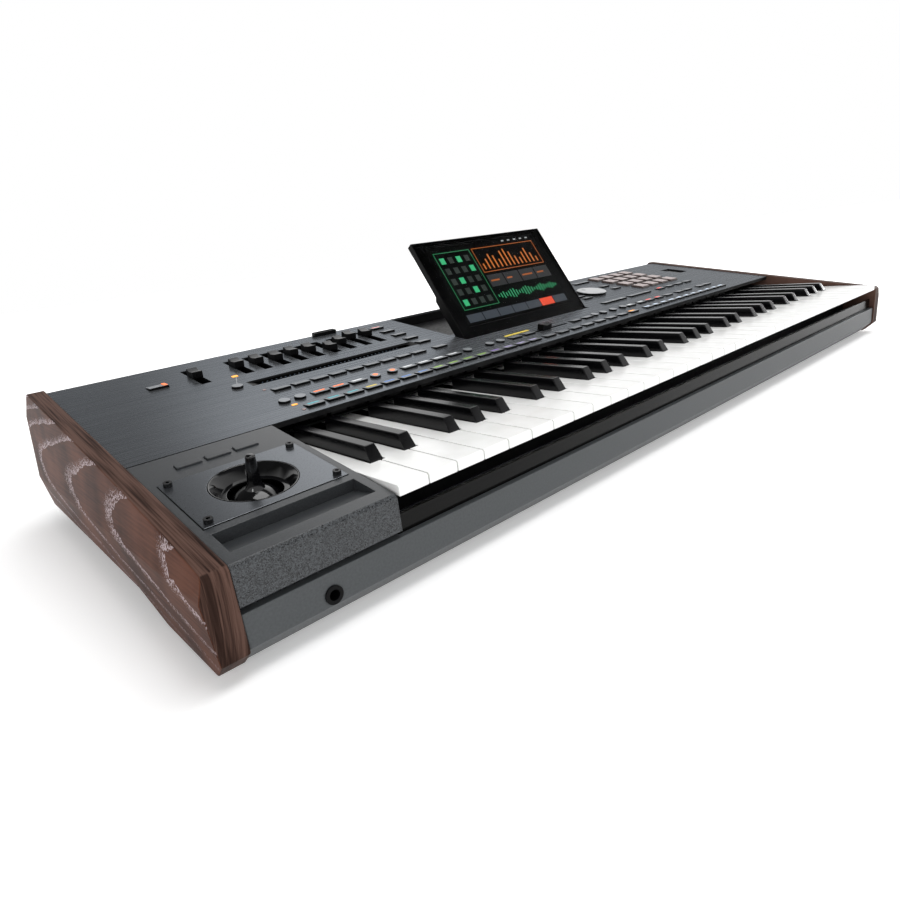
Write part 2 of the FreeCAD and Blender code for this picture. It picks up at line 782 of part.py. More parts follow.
FRAME_X = ("key_left", "key_right")
frame_low = "shelf_z - frame_plate"
contact_end = "front + contact_back + contact_depth"
node(fuse("key_frame", [
    block("frame_shelf", FRAME_X, ("front + rail_shelf + fit_gap", "pivot_y + stop_depth"),
          (frame_low, "shelf_z")),
    block("frame_fulcrum", FRAME_X, span("pivot_y", "frame_wall/2"), ("shelf_z", "rod_z - rod_radius")),
    block("frame_stop", FRAME_X, ("front + stop_back", "front + stop_back + stop_depth"),
          ("shelf_z", "shelf_z + stop_height")),
    block("frame_front_leg", FRAME_X, ("front + front_leg_back", "front + front_leg_back + frame_leg"),
          ("tray_front_top", frame_low)),
    block("frame_rear_leg", FRAME_X, ("front + rear_leg_back", "front + rear_leg_back + frame_leg"),
          ("tray_rear_top", frame_low)),
    block("contact_front_rib", FRAME_X,
          ("front + contact_back + frame_leg", "front + contact_back + 2*frame_leg"),
          ("shelf_z", "shelf_z + contact_rise")),
    block("contact_rear_rib", FRAME_X, (f"{contact_end} - 2*frame_leg", f"{contact_end} - frame_leg"),
          ("shelf_z", "shelf_z + contact_rise")),
]), "key_frame")
pivot_rod = rod("key_pivot_rod", "x", "rod_radius", ("key_left", "pivot_y", "rod_z"),
                "key_right - (key_left)")
node(pivot_rod, "key_pivot_rod")
node(block("contact_board", FRAME_X, ("front + contact_back", contact_end),
           ("shelf_z + contact_rise", "shelf_z + contact_rise + board_thick")), "contact_board")

# Control block left of the keys. Its top lies in the panel plane and holds the joystick plate.

block_x = ("fit_gap - inner_half", "block_right")
block_rear = "panel_y - block_rear_gap"
block_shell = prism("block_shell", [
    ("front + block_plinth", "rail_top"),
    ("front + block_plinth", "block_bottom"),
    ("front", "block_bottom"),
    ("front", "panel_z - key_visible*tan(panel_tilt) - block_nose"),
    ("front + block_nose", "panel_z - (key_visible - block_nose)*tan(panel_tilt)"),
    (block_rear, "panel_z - block_rear_gap*tan(panel_tilt)"),
    (block_rear, "rail_top"),
], block_x)
cavity_low = f"rail_top - {OVER}"
block_cavity = prism("block_cavity", [
    ("front + block_solid", cavity_low),
    ("front + block_solid", "panel_z - (key_visible - block_solid)*tan(panel_tilt) - block_top_wall"),
    (f"{block_rear} - block_wall",
     "panel_z - (block_rear_gap + block_wall)*tan(panel_tilt) - block_top_wall"),
    (f"{block_rear} - block_wall", cavity_low),
], (f"{block_x[0]} + block_wall", f"{block_x[1]} - block_wall"))
scoop_near = "(0 - key_visible + scoop_start)/cos(panel_tilt)"
scoop_far = "(0 - key_visible + scoop_start + scoop_length)/cos(panel_tilt)"
scoop_wedge = prism("scoop_wedge", [
    (scoop_near, "0 - scoop_lip"),
    (scoop_near, OVER),
    (scoop_far, OVER),
    (scoop_far, "0 - scoop_depth"),
], span("block_middle", "scoop_width/2"))
scoop_cut = on_panel(group("scoop_cut", [scoop_wedge]))


def plate_block(name, spare, low, high):
    """Block of the joystick plate's outline, made larger all round by spare."""
    return block(name, span("block_middle", f"plate_width/2 + {spare}"),
                 span("0 - plate_back", f"plate_length/2 + {spare}"), (low, high))


PLATE_SEAT = "plate_proud - plate_thick"
UNDER_BLOCK = "0 - 2*block_top_wall"
STICK = ("block_middle", "0 - plate_back")
SCREW_PLACES = [
    (f"{STICK[0]} {sx} (plate_width/2 - screw_inset)", f"{STICK[1]} {sy} (plate_length/2 - screw_inset)")
    for sx in "-+"
    for sy in "-+"
]
SWITCH_PLACES = [f"block_middle + {i}*switch_pitch" for i in (-1, 0, 1)]
SWITCH_ROW = "0 - switch_back"
plate_cuts = [
    plate_block("plate_recess", "fit_gap", PLATE_SEAT, OVER),
    plate_block("plate_well", "(0 - plate_ledge)", UNDER_BLOCK, OVER),
    rod("bowl_clearance", "z", "bowl_radius + hole_gap", (*STICK, UNDER_BLOCK), "2*block_top_wall"),
]
UNDER_PLATE = "0 - 2*plate_thick"
plate_holes = [rod("plate_bore", "z", "bowl_radius + fit_gap", (*STICK, UNDER_PLATE), "4*plate_thick")]
for i, (x, y) in enumerate(SCREW_PLACES):
    plate_cuts.append(rod(f"block_screw_hole_{i}", "z", "screw_shank_radius + fit_gap",
                          (x, y, UNDER_BLOCK), "3*block_top_wall"))
    plate_holes.append(rod(f"plate_screw_hole_{i}", "z", "screw_shank_radius + fit_gap",
                           (x, y, UNDER_PLATE), "4*plate_thick"))
switches = []
for i, x in enumerate(SWITCH_PLACES):
    plate_cuts.append(block(f"switch_hole_{i}", span(x, "switch_width/2 + hole_gap"),
                            span(SWITCH_ROW, "switch_depth/2 + hole_gap"), (UNDER_BLOCK, OVER)))
    switches.append(block(f"switch_{i}", span(x, "switch_width/2"), span(SWITCH_ROW, "switch_depth/2"),
                          ("0 - block_top_wall - switch_rise", "switch_rise")))
top_cuts = on_panel(group("block_top_cuts", plate_cuts))
node(cut("control_block", block_shell, [block_cavity, scoop_cut, top_cuts]), "control_block")
node(on_panel(group("assignable_switches", switches)), "assignable_switches")

# Joystick: plate, bowl, fixed base, gimbal ring that tips fore and aft, stick that tips sideways.

plate_sheet = plate_block("plate_sheet", 0, PLATE_SEAT, "plate_top")
node(on_panel(cut("joystick_plate", plate_sheet, plate_holes)), "joystick_plate")

screws = []
for i, (x, y) in enumerate(SCREW_PLACES):
    body = fuse(f"screw_{i}_body", [
        rod(f"screw_{i}_head", "z", "screw_head_radius", (x, y, "plate_top"), "screw_head_height"),
        rod(f"screw_{i}_shank", "z", "screw_shank_radius", (x, y, "plate_top - screw_shank"), "screw_shank"),
    ])
    socket = doc.addObject("Part::Prism", f"screw_{i}_socket")
    bind(socket, "Circumradius", "screw_socket")
    bind(socket, "Height", "screw_head_height")
    place(socket, x, y, "plate_top + screw_head_height/3")
    screws.append(cut(f"screw_{i}", body, [socket]))
node(on_panel(group("plate_screws", screws)), "plate_screws")

bowl_low = "0 - bowl_under"
bowl_opening = common("bowl_opening", [
    rod("bowl_hole_round", "z", "bowl_hole", (*STICK, f"{bowl_low} - bowl_floor"), "3*bowl_floor"),
    block("bowl_hole_flats", span(STICK[0], "bowl_flat"), span(STICK[1], "bowl_hole"),
          (f"{bowl_low} - bowl_floor", f"{bowl_low} + 2*bowl_floor")),
])
bowl_cup = rod("bowl_cup", "z", "bowl_radius", (*STICK, bowl_low), "bowl_depth + bowl_floor")
node(on_panel(cut("joystick_bezel", bowl_cup, [
    cone("bowl_hollow", "bowl_floor_radius", "bowl_bore", (*STICK, f"{bowl_low} + bowl_floor"),
         "bowl_depth - bowl_chamfer"),
    cone("bowl_mouth", "bowl_bore", "bowl_bore + bowl_chamfer", (*STICK, "plate_top - bowl_chamfer"),
         "bowl_chamfer"),
    bowl_opening,
])), "joystick_bezel")

pivot_w = "0 - stick_pivot"
bearing = "trunnion_radius + running_gap"
base_frame = block("base_frame", span(STICK[0], "base_half"), span(STICK[1], "base_half"),
                   span(pivot_w, "base_height/2"))
base_ring = cut("base_ring", base_frame, [
    block("base_window", span(STICK[0], "base_bore_half"), span(STICK[1], "base_bore_half"),
          span(pivot_w, "base_height")),
    rod("base_bearing", "x", bearing, (f"{STICK[0]} - 2*base_half", STICK[1], pivot_w), "4*base_half"),
])
post_out = "(base_half - base_post/2)"
base_posts = [
    block(f"base_post_{i}", span(f"{STICK[0]} {sx} {post_out}", "base_post/2"),
          span(f"{STICK[1]} {sy} {post_out}", "base_post/2"), (pivot_w, PLATE_SEAT))
    for i, (sx, sy) in enumerate(("--", "-+", "+-", "++"))
]
node(on_panel(fuse("joystick_base", [base_ring, *base_posts])), "joystick_base")

ring_outer = rod("ring_outer", "z", "ring_radius", (*STICK, f"{pivot_w} - ring_height/2"), "ring_height")
ring = cut("gimbal_ring", ring_outer, [
    rod("ring_inner", "z", "ring_bore", (*STICK, f"{pivot_w} - ring_height"), "2*ring_height"),
    rod("ring_bearing", "y", bearing, (STICK[0], f"{STICK[1]} - 2*ring_radius", pivot_w), "4*ring_radius"),
])
ring_middle = "(ring_radius + ring_bore)/2"
trunnion = f"base_half - {ring_middle}"
trunnion_start = f"{STICK[0]} + {ring_middle}"
node(on_panel(fuse("joystick_gimbal", [
    ring,
    rod("trunnion_left", "x", "trunnion_radius", (f"{STICK[0]} - base_half", STICK[1], pivot_w), trunnion),
    rod("trunnion_right", "x", "trunnion_radius", (trunnion_start, STICK[1], pivot_w), trunnion),
])), "joystick_gimbal")

dome = doc.addObject("Part::Sphere", "stick_dome")
bind(dome, "Radius", "dome_radius")
place(dome, *STICK, pivot_w)
dome_keep = block("dome_keep", span(STICK[0], "dome_radius"), span(STICK[1], "dome_radius"),
                  (f"{pivot_w} + dome_rim", f"{pivot_w} + 2*dome_radius"))
stick_foot = f"({pivot_w} + dome_rim + (dome_radius - dome_rim)/2)"
pin_start_y = f"{STICK[1]} - ring_radius + pin_shy"
node(on_panel(fuse("joystick_stick", [
    common("dome_cap", [dome, dome_keep]),
    cone("stick_post", "stick_foot_radius", "stick_tip_radius", (*STICK, stick_foot),
         f"stick_height - {stick_foot}"),
    rod("stick_lower", "z", "stick_shaft", (*STICK, f"{pivot_w} - stick_tail"),
        f"stick_tail + dome_rim + {OVER}"),
    rod("stick_pin", "y", "trunnion_radius", (STICK[0], pin_start_y, pivot_w), "2*ring_radius - 2*pin_shy"),
])), "joystick_stick")

# Buttons. Each row is a list of places across the panel, measured from the middle of the instrument.

FIRST_BUTTON = -329.2
control_grid = [f"{FIRST_BUTTON} + {i}*control_pitch" for i in range(15)]
FRONT_GREY = [-37.5 + 23.1 * i for i in range(8)]
FRONT_PALE = [159.2 + 19.5 * i for i in range(11)]
SECOND_ROW = [-67.8, -46.4, 37.0, 60.2, 152.4, 177.8, 197.4, 219.8, 243.4, 274.6, 296.2, 333.0, 352.0]
THIRD_ROW = [-148.0, 145.8, 163.0, 180.0, 206.6, 223.6, 240.6, 278.4, 303.4, 328.4, 353.4]
SECOND_ROUND = [-343.6, -329.2, -106.6, -90.6, 75.6, 93.4, 114.0, 135.4]
AROUND_WHEEL = [(41.2, 55.5), (58.7, 55.5), (52.7, 15.5), (52.7, -4.5), (-34.3, -5.0), (-34.3, -17.5)]
COLUMN_X = -146.6
MASTER_ROUND = ("slider_left - round_left", "strip_row + round_back")
POWER = ("master_left - power_left", "slot_start + power_back")

front_places = [(x, "first_row") for x in [*control_grid, *FRONT_GREY, *FRONT_PALE]]
wedge_places = [(control_grid[i], "second_row") for i in (1, 2, 3, 6, 7, 8, 9)]
wedge_places += [(x, "second_row") for x in SECOND_ROW]
wedge_places += [(x, "third_row") for x in [*control_grid[:9], *THIRD_ROW]]
wedge_places += [(COLUMN_X, f"column_row + {i}*column_pitch") for i in range(COLUMN_BUTTONS)]
wedge_places += [(f"wheel_place + {x}", f"wheel_row + {u}") for x, u in AROUND_WHEEL]
round_places = [(x, "second_row") for x in SECOND_ROUND]
round_places += [(control_grid[i], "second_row") for i in (4, 5, 10)]
round_places.append(MASTER_ROUND)
pad_places = [
    (f"pad_left + {i}*pad_pitch", f"pad_row + {j}*pad_pitch")
    for j in range(PADS_ACROSS)
    for i in range(PADS_ACROSS)
]


def wedge_button(name, x, u, width="button_width", depth="button_depth"):
    """Button whose top slopes up towards the player, with its stem below."""
    return prism(name, [
        (f"{u} - {depth}/2", "button_bottom"),
        (f"{u} - {depth}/2", "button_front"),
        (f"{u} + {depth}/2", "button_rear"),
        (f"{u} + {depth}/2", "button_bottom"),
    ], span(x, f"{width}/2"))


THROUGH_PANEL = ("0 - 2*panel_thick", "panel_thick")


def hole(name, x, u, width, depth):
    """Clearance hole through the panel for a piece of that width and depth."""
    return block(name, span(x, f"{width}/2 + hole_gap"),
                 span(u, f"{depth}/2 + hole_gap"), THROUGH_PANEL)


def round_hole(name, x, u, radius):
    return rod(name, "z", f"{radius} + hole_gap", (x, u, "0 - 2*panel_thick"), "3*panel_thick")


panel_holes = []
front_buttons = []
for i, (x, u) in enumerate(front_places):
    front_buttons.append(wedge_button(f"front_button_{i}", x, u))
    panel_holes.append(hole(f"front_hole_{i}", x, u, "button_width", "button_depth"))
node(on_panel(group("front_row_buttons", front_buttons)), "front_row_buttons")

wedge_buttons = [wedge_button("power_button", *POWER, "power_width", "power_depth")]
panel_holes.append(hole("power_hole", *POWER, "power_width", "power_depth"))
for i, (x, u) in enumerate(wedge_places):
    wedge_buttons.append(wedge_button(f"wedge_button_{i}", x, u))
    panel_holes.append(hole(f"wedge_hole_{i}", x, u, "button_width", "button_depth"))
node(on_panel(group("panel_buttons", wedge_buttons)), "panel_buttons")

round_buttons = []
for i, (x, u) in enumerate(round_places):
    round_buttons.append(rod(f"round_button_{i}", "z", "round_radius", (x, u, "button_bottom"),
                             "round_rise - (button_bottom)"))
    panel_holes.append(round_hole(f"round_hole_{i}", x, u, "round_radius"))
node(on_panel(group("round_buttons", round_buttons)), "round_buttons")

pads = []
for i, (x, u) in enumerate(pad_places):
    sides = (*span(x, "pad_size/2"), *span(u, "pad_size/2"))
    top_sides = (*span(x, "pad_size/2 - pad_taper"), *span(u, "pad_size/2 - pad_taper"))
    stem = block(f"pad_stem_{i}", sides[:2], sides[2:], ("button_bottom", "0"))
    crown = frustum(f"pad_crown_{i}", sides, top_sides, 0, ("0", "pad_rise"))
    pads.append(fuse(f"pad_{i}", [stem, crown]))
    panel_holes.append(hole(f"pad_hole_{i}", x, u, "pad_size", "pad_size"))
node(on_panel(group("number_pads", pads)), "number_pads")

# Sliders: caps on blades that run in the slits of dark wells, with their places as photographed.

SLIDER_SET = (4, 2, -1, 3, 1, -9, 3, 13, 10)
MASTER_SET = 1
slider_xs = {"master_slider": "master_left"}
slider_xs.update({f"slider_{i + 1}": f"slider_left + {i}*slider_pitch" for i in range(len(SLIDER_SET))})
settings = dict(zip(slider_xs, (MASTER_SET, *SLIDER_SET)))


def slider_cap(name, x, u, width):
    """Finger cap: a block with a shallow saddle in its top."""
    return prism(name, [
        (f"{u} - cap_length/2", "cap_seat"),
        (f"{u} - cap_length/2", "cap_front"),
        (f"{u} + cap_length/2 - saddle_back", "saddle_height"),
        (f"{u} + cap_length/2 - grip_front", "cap_height"),
        (f"{u} + cap_length/2 - grip_back", "cap_height"),
        (f"{u} + cap_length/2", "cap_seat"),
    ], span(x, f"{width}/2"))


SLOT_U = ("slot_start", "slot_start + slot_length")
WELL_FLOOR = "0 - panel_thick - well_depth"
WELL_Z = (f"{WELL_FLOOR} - well_wall", "0 - panel_thick")
SLIT_Z = (f"{WELL_FLOOR} - 2*well_wall", "panel_thick")
BLADE_Z = ("0 - stem_drop", "cap_seat + stem_width")
wells = []
for name, x in slider_xs.items():
    u = f"slot_middle + {settings[name]}"
    blade = block(f"{name}_blade", span(x, "stem_width/2"), span(u, "stem_length/2"), BLADE_Z)
    node(on_panel(fuse(name, [slider_cap(f"{name}_cap", x, u, "cap_width"), blade])), name)
    well = block(f"{name}_well", span(x, "slot_width/2 + well_wall"),
                 (f"{SLOT_U[0]} - well_wall", f"{SLOT_U[1]} + well_wall"), WELL_Z)
    trough = block(f"{name}_trough", span(x, "slot_width/2"), SLOT_U, (WELL_FLOOR, "panel_thick"))
    slit = block(f"{name}_slit", span(x, "slit_width/2"), SLOT_U, SLIT_Z)
    wells.append(cut(f"{name}_frame", well, [trough, slit]))
    panel_holes.append(block(f"{name}_slot", span(x, "slot_width/2"), SLOT_U, THROUGH_PANEL))

fader_row = "second_row"
fader_blade = block("fader_blade", span("fader_place", "stem_length/2"), span(fader_row, "stem_width/2"),
                    BLADE_Z)
fader_cap = slider_cap("fader_cap", 0, 0, "fader_width")
fader_turn = group("fader_turn", [fader_cap])
fader_turn.Placement = turned((0, 0, 1), 90)
place(fader_turn, "fader_place", fader_row, 0)
node(on_panel(fuse("crossfader", [fader_turn, fader_blade])), "crossfader")
fader_x = ("fader_slot_left", "fader_slot_left + fader_slot_length")
fader_well = block("fader_well", (f"{fader_x[0]} - well_wall", f"{fader_x[1]} + well_wall"),
                   span(fader_row, "fader_slot_width/2 + well_wall"), WELL_Z)
fader_slit = block("fader_slit", fader_x, span(fader_row, "fader_slot_width/2"), SLIT_Z)
wells.append(cut("fader_frame", fader_well, [fader_slit]))
panel_holes.append(block("fader_slot", fader_x, span(fader_row, "fader_slot_width/2"), THROUGH_PANEL))
node(on_panel(group("slider_frames", wells)), "slider_frames")

# Data wheel on its shaft, with a finger dimple.

WHEEL = ("wheel_place", "wheel_row")
wheel_top = "wheel_lift + wheel_height"
wheel_disc = fuse("wheel_disc", [
    rod("wheel_rim", "z", "wheel_radius", (*WHEEL, "wheel_lift"), "wheel_height - wheel_bevel"),
    cone("wheel_crown", "wheel_radius", "wheel_radius - wheel_bevel", (*WHEEL, f"{wheel_top} - wheel_bevel"),
         "wheel_bevel"),
    rod("wheel_shaft", "z", "shaft_radius", (*WHEEL, "wheel_lift - shaft_length"),
        "shaft_length + wheel_bevel"),
])
dimple_place = ("wheel_place - dimple_left", "wheel_row + dimple_back", f"{wheel_top} - dimple_depth")
dimple = cone("wheel_dimple", "dimple_floor", "dimple_radius", dimple_place, "dimple_depth")
node(on_panel(cut("data_wheel", wheel_disc, [dimple])), "data_wheel")
panel_holes.append(round_hole("wheel_hole", *WHEEL, "shaft_radius"))

# Top panel: one bent sheet with every hole, and the open bay for the screen. Windows sit in its cut-outs.

BAY_X = ("0 - bay_half", "bay_half")
strip = (("strip_left", "strip_left + strip_length"), ("strip_row", "strip_row + strip_depth"))
window_x = ("small_window_left", "small_window_left + window_width")
small_window = (window_x, ("window_row", "window_row + window_depth"))


def window_block(name, sides, spare, z):
    """Block over a window's outline, larger all round by spare."""
    (left, right), (near, far) = sides
    x = (f"{left} - {spare}", f"{right} + {spare}")
    return block(name, x, (f"{near} - {spare}", f"{far} + {spare}"), z)


panel_holes += [
    block("bay_notch", BAY_X, ("bay_front", "panel_length + panel_thick"), THROUGH_PANEL),
    window_block("strip_hole", strip, 0, THROUGH_PANEL),
    frustum("strip_ends", (*strip[0], *strip[1]),
            (f"{strip[0][0]} - strip_slope", f"{strip[0][1]} + strip_slope", *strip[1]),
            0, ("0 - panel_thick", 0)),
    window_block("small_window_hole", small_window, 0, THROUGH_PANEL),
]
sheet_metal = fuse("panel_sheet", [
    block("panel_top", BETWEEN_CHEEKS, (0, "panel_length"), ("0 - panel_thick", 0)),
    block("panel_front_lip", ("block_right + fit_gap", "inner_half - fit_gap"), (0, "panel_thick"),
          ("0 - panel_lip", 0)),
])
node(on_panel(cut("top_panel", sheet_metal, panel_holes)), "top_panel")
TROUGH_FLOOR = "0 - panel_thick - trough_depth"
strip_case = window_block("strip_case", strip, "window_lap",
                          (f"{TROUGH_FLOOR} - window_wall", "0 - panel_thick"))
strip_hollow = window_block("strip_hollow", strip, 0, (TROUGH_FLOOR, "panel_thick"))
strip_trough = cut("strip_trough", strip_case, [strip_hollow])
small_pane = window_block("small_pane", small_window, "window_lap",
                          ("0 - panel_thick - window_wall", "0 - panel_thick"))
node(on_panel(group("display_windows", [strip_trough, small_pane])), "display_windows")


def rest_clip(name, side):
    """Clip for the feet of a music rest, on the rear edge of the panel."""
    low = f"{side}*clip_place - clip_width/2"
    high = f"{side}*clip_place + clip_width/2"
    bar = block(f"{name}_bar", (low, high), ("panel_length - clip_depth", "panel_length"), (0, "clip_rise"))
    slot = block(f"{name}_slot", (f"{low} + clip_slot", f"{high} - clip_slot"),
                 span("panel_length - clip_depth/2", "clip_slot/2"), ("clip_slot/2", f"clip_rise + {OVER}"))
    return cut(name, bar, [slot])


clips = [rest_clip("left_clip", -1), rest_clip("right_clip", 1)]
node(on_panel(group("music_rest_clips", clips)), "music_rest_clips")

# Screen bay below the panel, hinge pins, and the screen raised about its lower edge.

deck_low = "0 - bay_depth - deck_wall"
pin_z = "0 - hinge_drop"
deck_tub = block("deck_tub", ("0 - deck_half", "deck_half"), ("bay_front - deck_wall", "panel_length"),
                 (deck_low, "0 - panel_thick"))
pin_bore = "pin_radius + running_gap"
node(on_panel(cut("screen_deck", deck_tub, [
    block("deck_hollow", BAY_X, ("bay_front", "panel_length - deck_wall"), ("0 - bay_depth", OVER)),
    rod("deck_pin_holes", "x", pin_bore, ("0 - 2*deck_half", "hinge_back", pin_z), "4*deck_half"),
])), "screen_deck")
pin_start = "(deck_half - pin_length)"
node(on_panel(group("screen_hinge_pins", [
    rod("left_hinge_pin", "x", "pin_radius", ("0 - deck_half", "hinge_back", pin_z), "pin_length"),
    rod("right_hinge_pin", "x", "pin_radius", (pin_start, "hinge_back", pin_z), "pin_length"),
])), "screen_hinge_pins")


def on_screen(thing):
    """Stand a piece that was drawn about the hinge axis at the raised angle."""
    thing.Placement = turned((1, 0, 0), 1)
    bind(thing, "Placement.Rotation.Angle", "panel_tilt + screen_raise")
    return place(thing, 0, "hinge_y", "hinge_z")


screen_end = "screen_length - screen_heel"
shell_back = "screen_face - screen_thick"
hump_back = "screen_face - hump_thick"
SCREEN_X = ("0 - screen_width/2", "screen_width/2")
shell_body = prism("shell_body", [
    ("0 - screen_heel", hump_back),
    ("0 - screen_heel", "screen_face"),
    (screen_end, "screen_face"),
    (screen_end, shell_back),
    ("hump_length + hump_slope", shell_back),
    ("hump_length", hump_back),
], SCREEN_X)
GLASS_X = (f"{SCREEN_X[0]} + glass_rim", f"{SCREEN_X[1]} - glass_rim")
GLASS_V = ("glass_rim - screen_heel", f"{screen_end} - glass_rim")
GLASS_LOW = "screen_face - glass_thick"
DISPLAY_X = ("0 - display_width/2", "display_width/2")
DISPLAY_V = ("display_start", "display_start + display_length")
hinge_bore = f"pin_length - deck_wall - bay_gap + {OVER}"
glass_recess = block("glass_recess", (f"{GLASS_X[0]} - fit_gap", f"{GLASS_X[1]} + fit_gap"),
                     (f"{GLASS_V[0]} - fit_gap", f"{GLASS_V[1]} + fit_gap"),
                     (GLASS_LOW, f"screen_face + {OVER}"))
display_recess = block("display_recess", (f"{DISPLAY_X[0]} - fit_gap", f"{DISPLAY_X[1]} + fit_gap"),
                       (f"{DISPLAY_V[0]} - fit_gap", f"{DISPLAY_V[1]} + fit_gap"),
                       (f"{GLASS_LOW} - display_thick", f"screen_face + {OVER}"))
node(on_screen(cut("screen_shell", shell_body, [
    glass_recess,
    display_recess,
    rod("left_hinge_bore", "x", pin_bore, (f"{SCREEN_X[0]} - {OVER}", 0, 0), hinge_bore),
    rod("right_hinge_bore", "x", pin_bore, (f"{SCREEN_X[1]} + {OVER} - ({hinge_bore})", 0, 0), hinge_bore),
])), "screen_shell")
cover_glass = block("cover_glass", GLASS_X, GLASS_V, (GLASS_LOW, "screen_face"))
node(on_screen(group("screen_glass", [cover_glass])), "screen_glass")
display_cell = block("display_cell", DISPLAY_X, DISPLAY_V, (f"{GLASS_LOW} - display_thick", GLASS_LOW))
node(on_screen(group("screen_display", [display_cell])), "screen_display")

# Boards and supply inside the body.

board_top = "0 - panel_board_drop"
board_low = "0 - panel_board_drop - board_thick"
board_rear = "panel_length - panel_board_end"
BOARD_LEFT = ("panel_board_inset - inner_half", "0 - deck_half - board_clear")
BOARD_RIGHT = ("deck_half + board_clear", "inner_half - panel_board_inset")
BOARD_Z = (board_low, board_top)
post_edges = [
    (BOARD_LEFT[0], f"{BOARD_LEFT[0]} + post_size"),
    (f"{BOARD_LEFT[1]} - post_size", BOARD_LEFT[1]),
    (BOARD_RIGHT[0], f"{BOARD_RIGHT[0]} + post_size"),
    (f"{BOARD_RIGHT[1]} - post_size", BOARD_RIGHT[1]),
]
posts = [
    block(f"board_post_{i}", edges, (f"{board_rear} - post_size", board_rear), (board_top, "0 - panel_thick"))
    for i, edges in enumerate(post_edges)
]
encoder_body = block("encoder_body", span("wheel_place", "encoder_half"), span("wheel_row", "encoder_half"),
                     ("0 - panel_thick - encoder_height", "0 - panel_thick"))
encoder_bore = rod("encoder_bore", "z", "shaft_radius + running_gap",
                   (*WHEEL, "0 - panel_thick - 2*encoder_height"), "4*encoder_height")
board_front = ("panel_board_start", "bay_front - deck_wall - board_clear")
board_body = fuse("panel_board_body", [
    block("board_left", BOARD_LEFT, ("panel_board_start", board_rear), BOARD_Z),
    block("board_right", BOARD_RIGHT, ("panel_board_start", board_rear), BOARD_Z),
    block("board_front", (BOARD_LEFT[0], BOARD_RIGHT[1]), board_front, BOARD_Z),
    *posts,
])
wheel_encoder = cut("wheel_encoder", encoder_body, [encoder_bore])
node(on_panel(group("panel_board", [board_body, wheel_encoder])), "panel_board")

main_x = ("main_board_left", "main_board_left + main_board_width")
main_y = ("front + main_board_back", "front + main_board_back + main_board_depth")
main_z = "tray_rear_top + standoff"
standoffs = [
    block(f"standoff_{i}{j}", span(x, "post_size/2"), span(y, "post_size/2"), ("tray_rear_top", main_z))
    for i, x in enumerate((f"{main_x[0]} + post_size", f"{main_x[1]} - post_size"))
    for j, y in enumerate((f"{main_y[0]} + post_size", f"{main_y[1]} - post_size"))
]
chip_y = (f"{main_y[0]} + chip_size", f"{main_y[0]} + 2*chip_size")
chip_z = (f"{main_z} + board_thick", f"{main_z} + board_thick + chip_height")
chips = [
    block(f"chip_{i}", span(f"{main_x[0]} + {i}*2*chip_size", "chip_size/2"), chip_y, chip_z)
    for i in (1, 2, 3)
]
main_sheet = block("main_board_sheet", main_x, main_y, (main_z, f"{main_z} + board_thick"))
node(fuse("main_board", [main_sheet, *standoffs, *chips]), "main_board")

VENTS = 9
supply_x = ("supply_left", "supply_left + supply_width")
supply_y = ("front + supply_back", "front + supply_back + supply_depth")
supply_top = "tray_rear_top + supply_height"
vent_y = span(f"{supply_y[0]} + supply_depth/2", "vent_length/2")
vent_z = (f"{supply_top} - 2*supply_wall", f"{supply_top} + {OVER}")
vents = [
    block(f"supply_vent_{i}", span(f"supply_left + {i + 2}*vent_pitch", "vent_width/2"), vent_y, vent_z)
    for i in range(VENTS)
]
supply_case = block("supply_case", supply_x, supply_y, ("tray_rear_top", supply_top))
supply_hollow = block("supply_hollow", (f"{supply_x[0]} + supply_wall", f"{supply_x[1]} - supply_wall"),
                      (f"{supply_y[0]} + supply_wall", f"{supply_y[1]} - supply_wall"),
                      ("tray_rear_top + supply_wall", f"{supply_top} - supply_wall"))
node(cut("power_supply", supply_case, [supply_hollow, *vents]), "power_supply")

# Rubber feet below the cheeks. The rear end of each slopes in towards the floor.

FEET = {
    "front": ("front_foot_back", "belly_height - cheek_drop"),
    "rear": ("rear_foot_back", "rear_belly_height - cheek_drop"),
}
feet = []
for end, (back, top) in FEET.items():
    near, far = span(back, "foot_length/2")
    for side, middle in (("left", "0 - inner_half - foot_out"), ("right", "inner_half + foot_out")):
        left, right = span(middle, "foot_width/2")
        floor_x = (f"{left} + foot_taper", f"{right} - foot_taper")
        floor_y = (f"{near} + foot_taper", f"{far} - foot_heel")
        feet.append(frustum(f"{end}_foot_{side}", (*floor_x, *floor_y), (left, right, near, far),
                            "front", (0, top)))
node(group("rubber_feet", feet), "rubber_feet")

# Build, check every object, then write one file for each sub-part.

doc.recompute()
faults = [thing.Name for thing in doc.Objects if "Invalid" in thing.State or "Error" in thing.State]
faults += [thing.Label for thing in nodes if thing.Shape.isNull() or not thing.Shape.isValid()]
if faults:
    raise RuntimeError(f"Not built: {faults}")
os.makedirs("parts", exist_ok=True)
for thing in nodes:
    thing.Shape.exportStep(f"parts/{thing.Label}.step")
print(f"{len(nodes)} sub-parts written")
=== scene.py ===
import json
import math
import bmesh
import bpy
from mathutils import Matrix, Vector

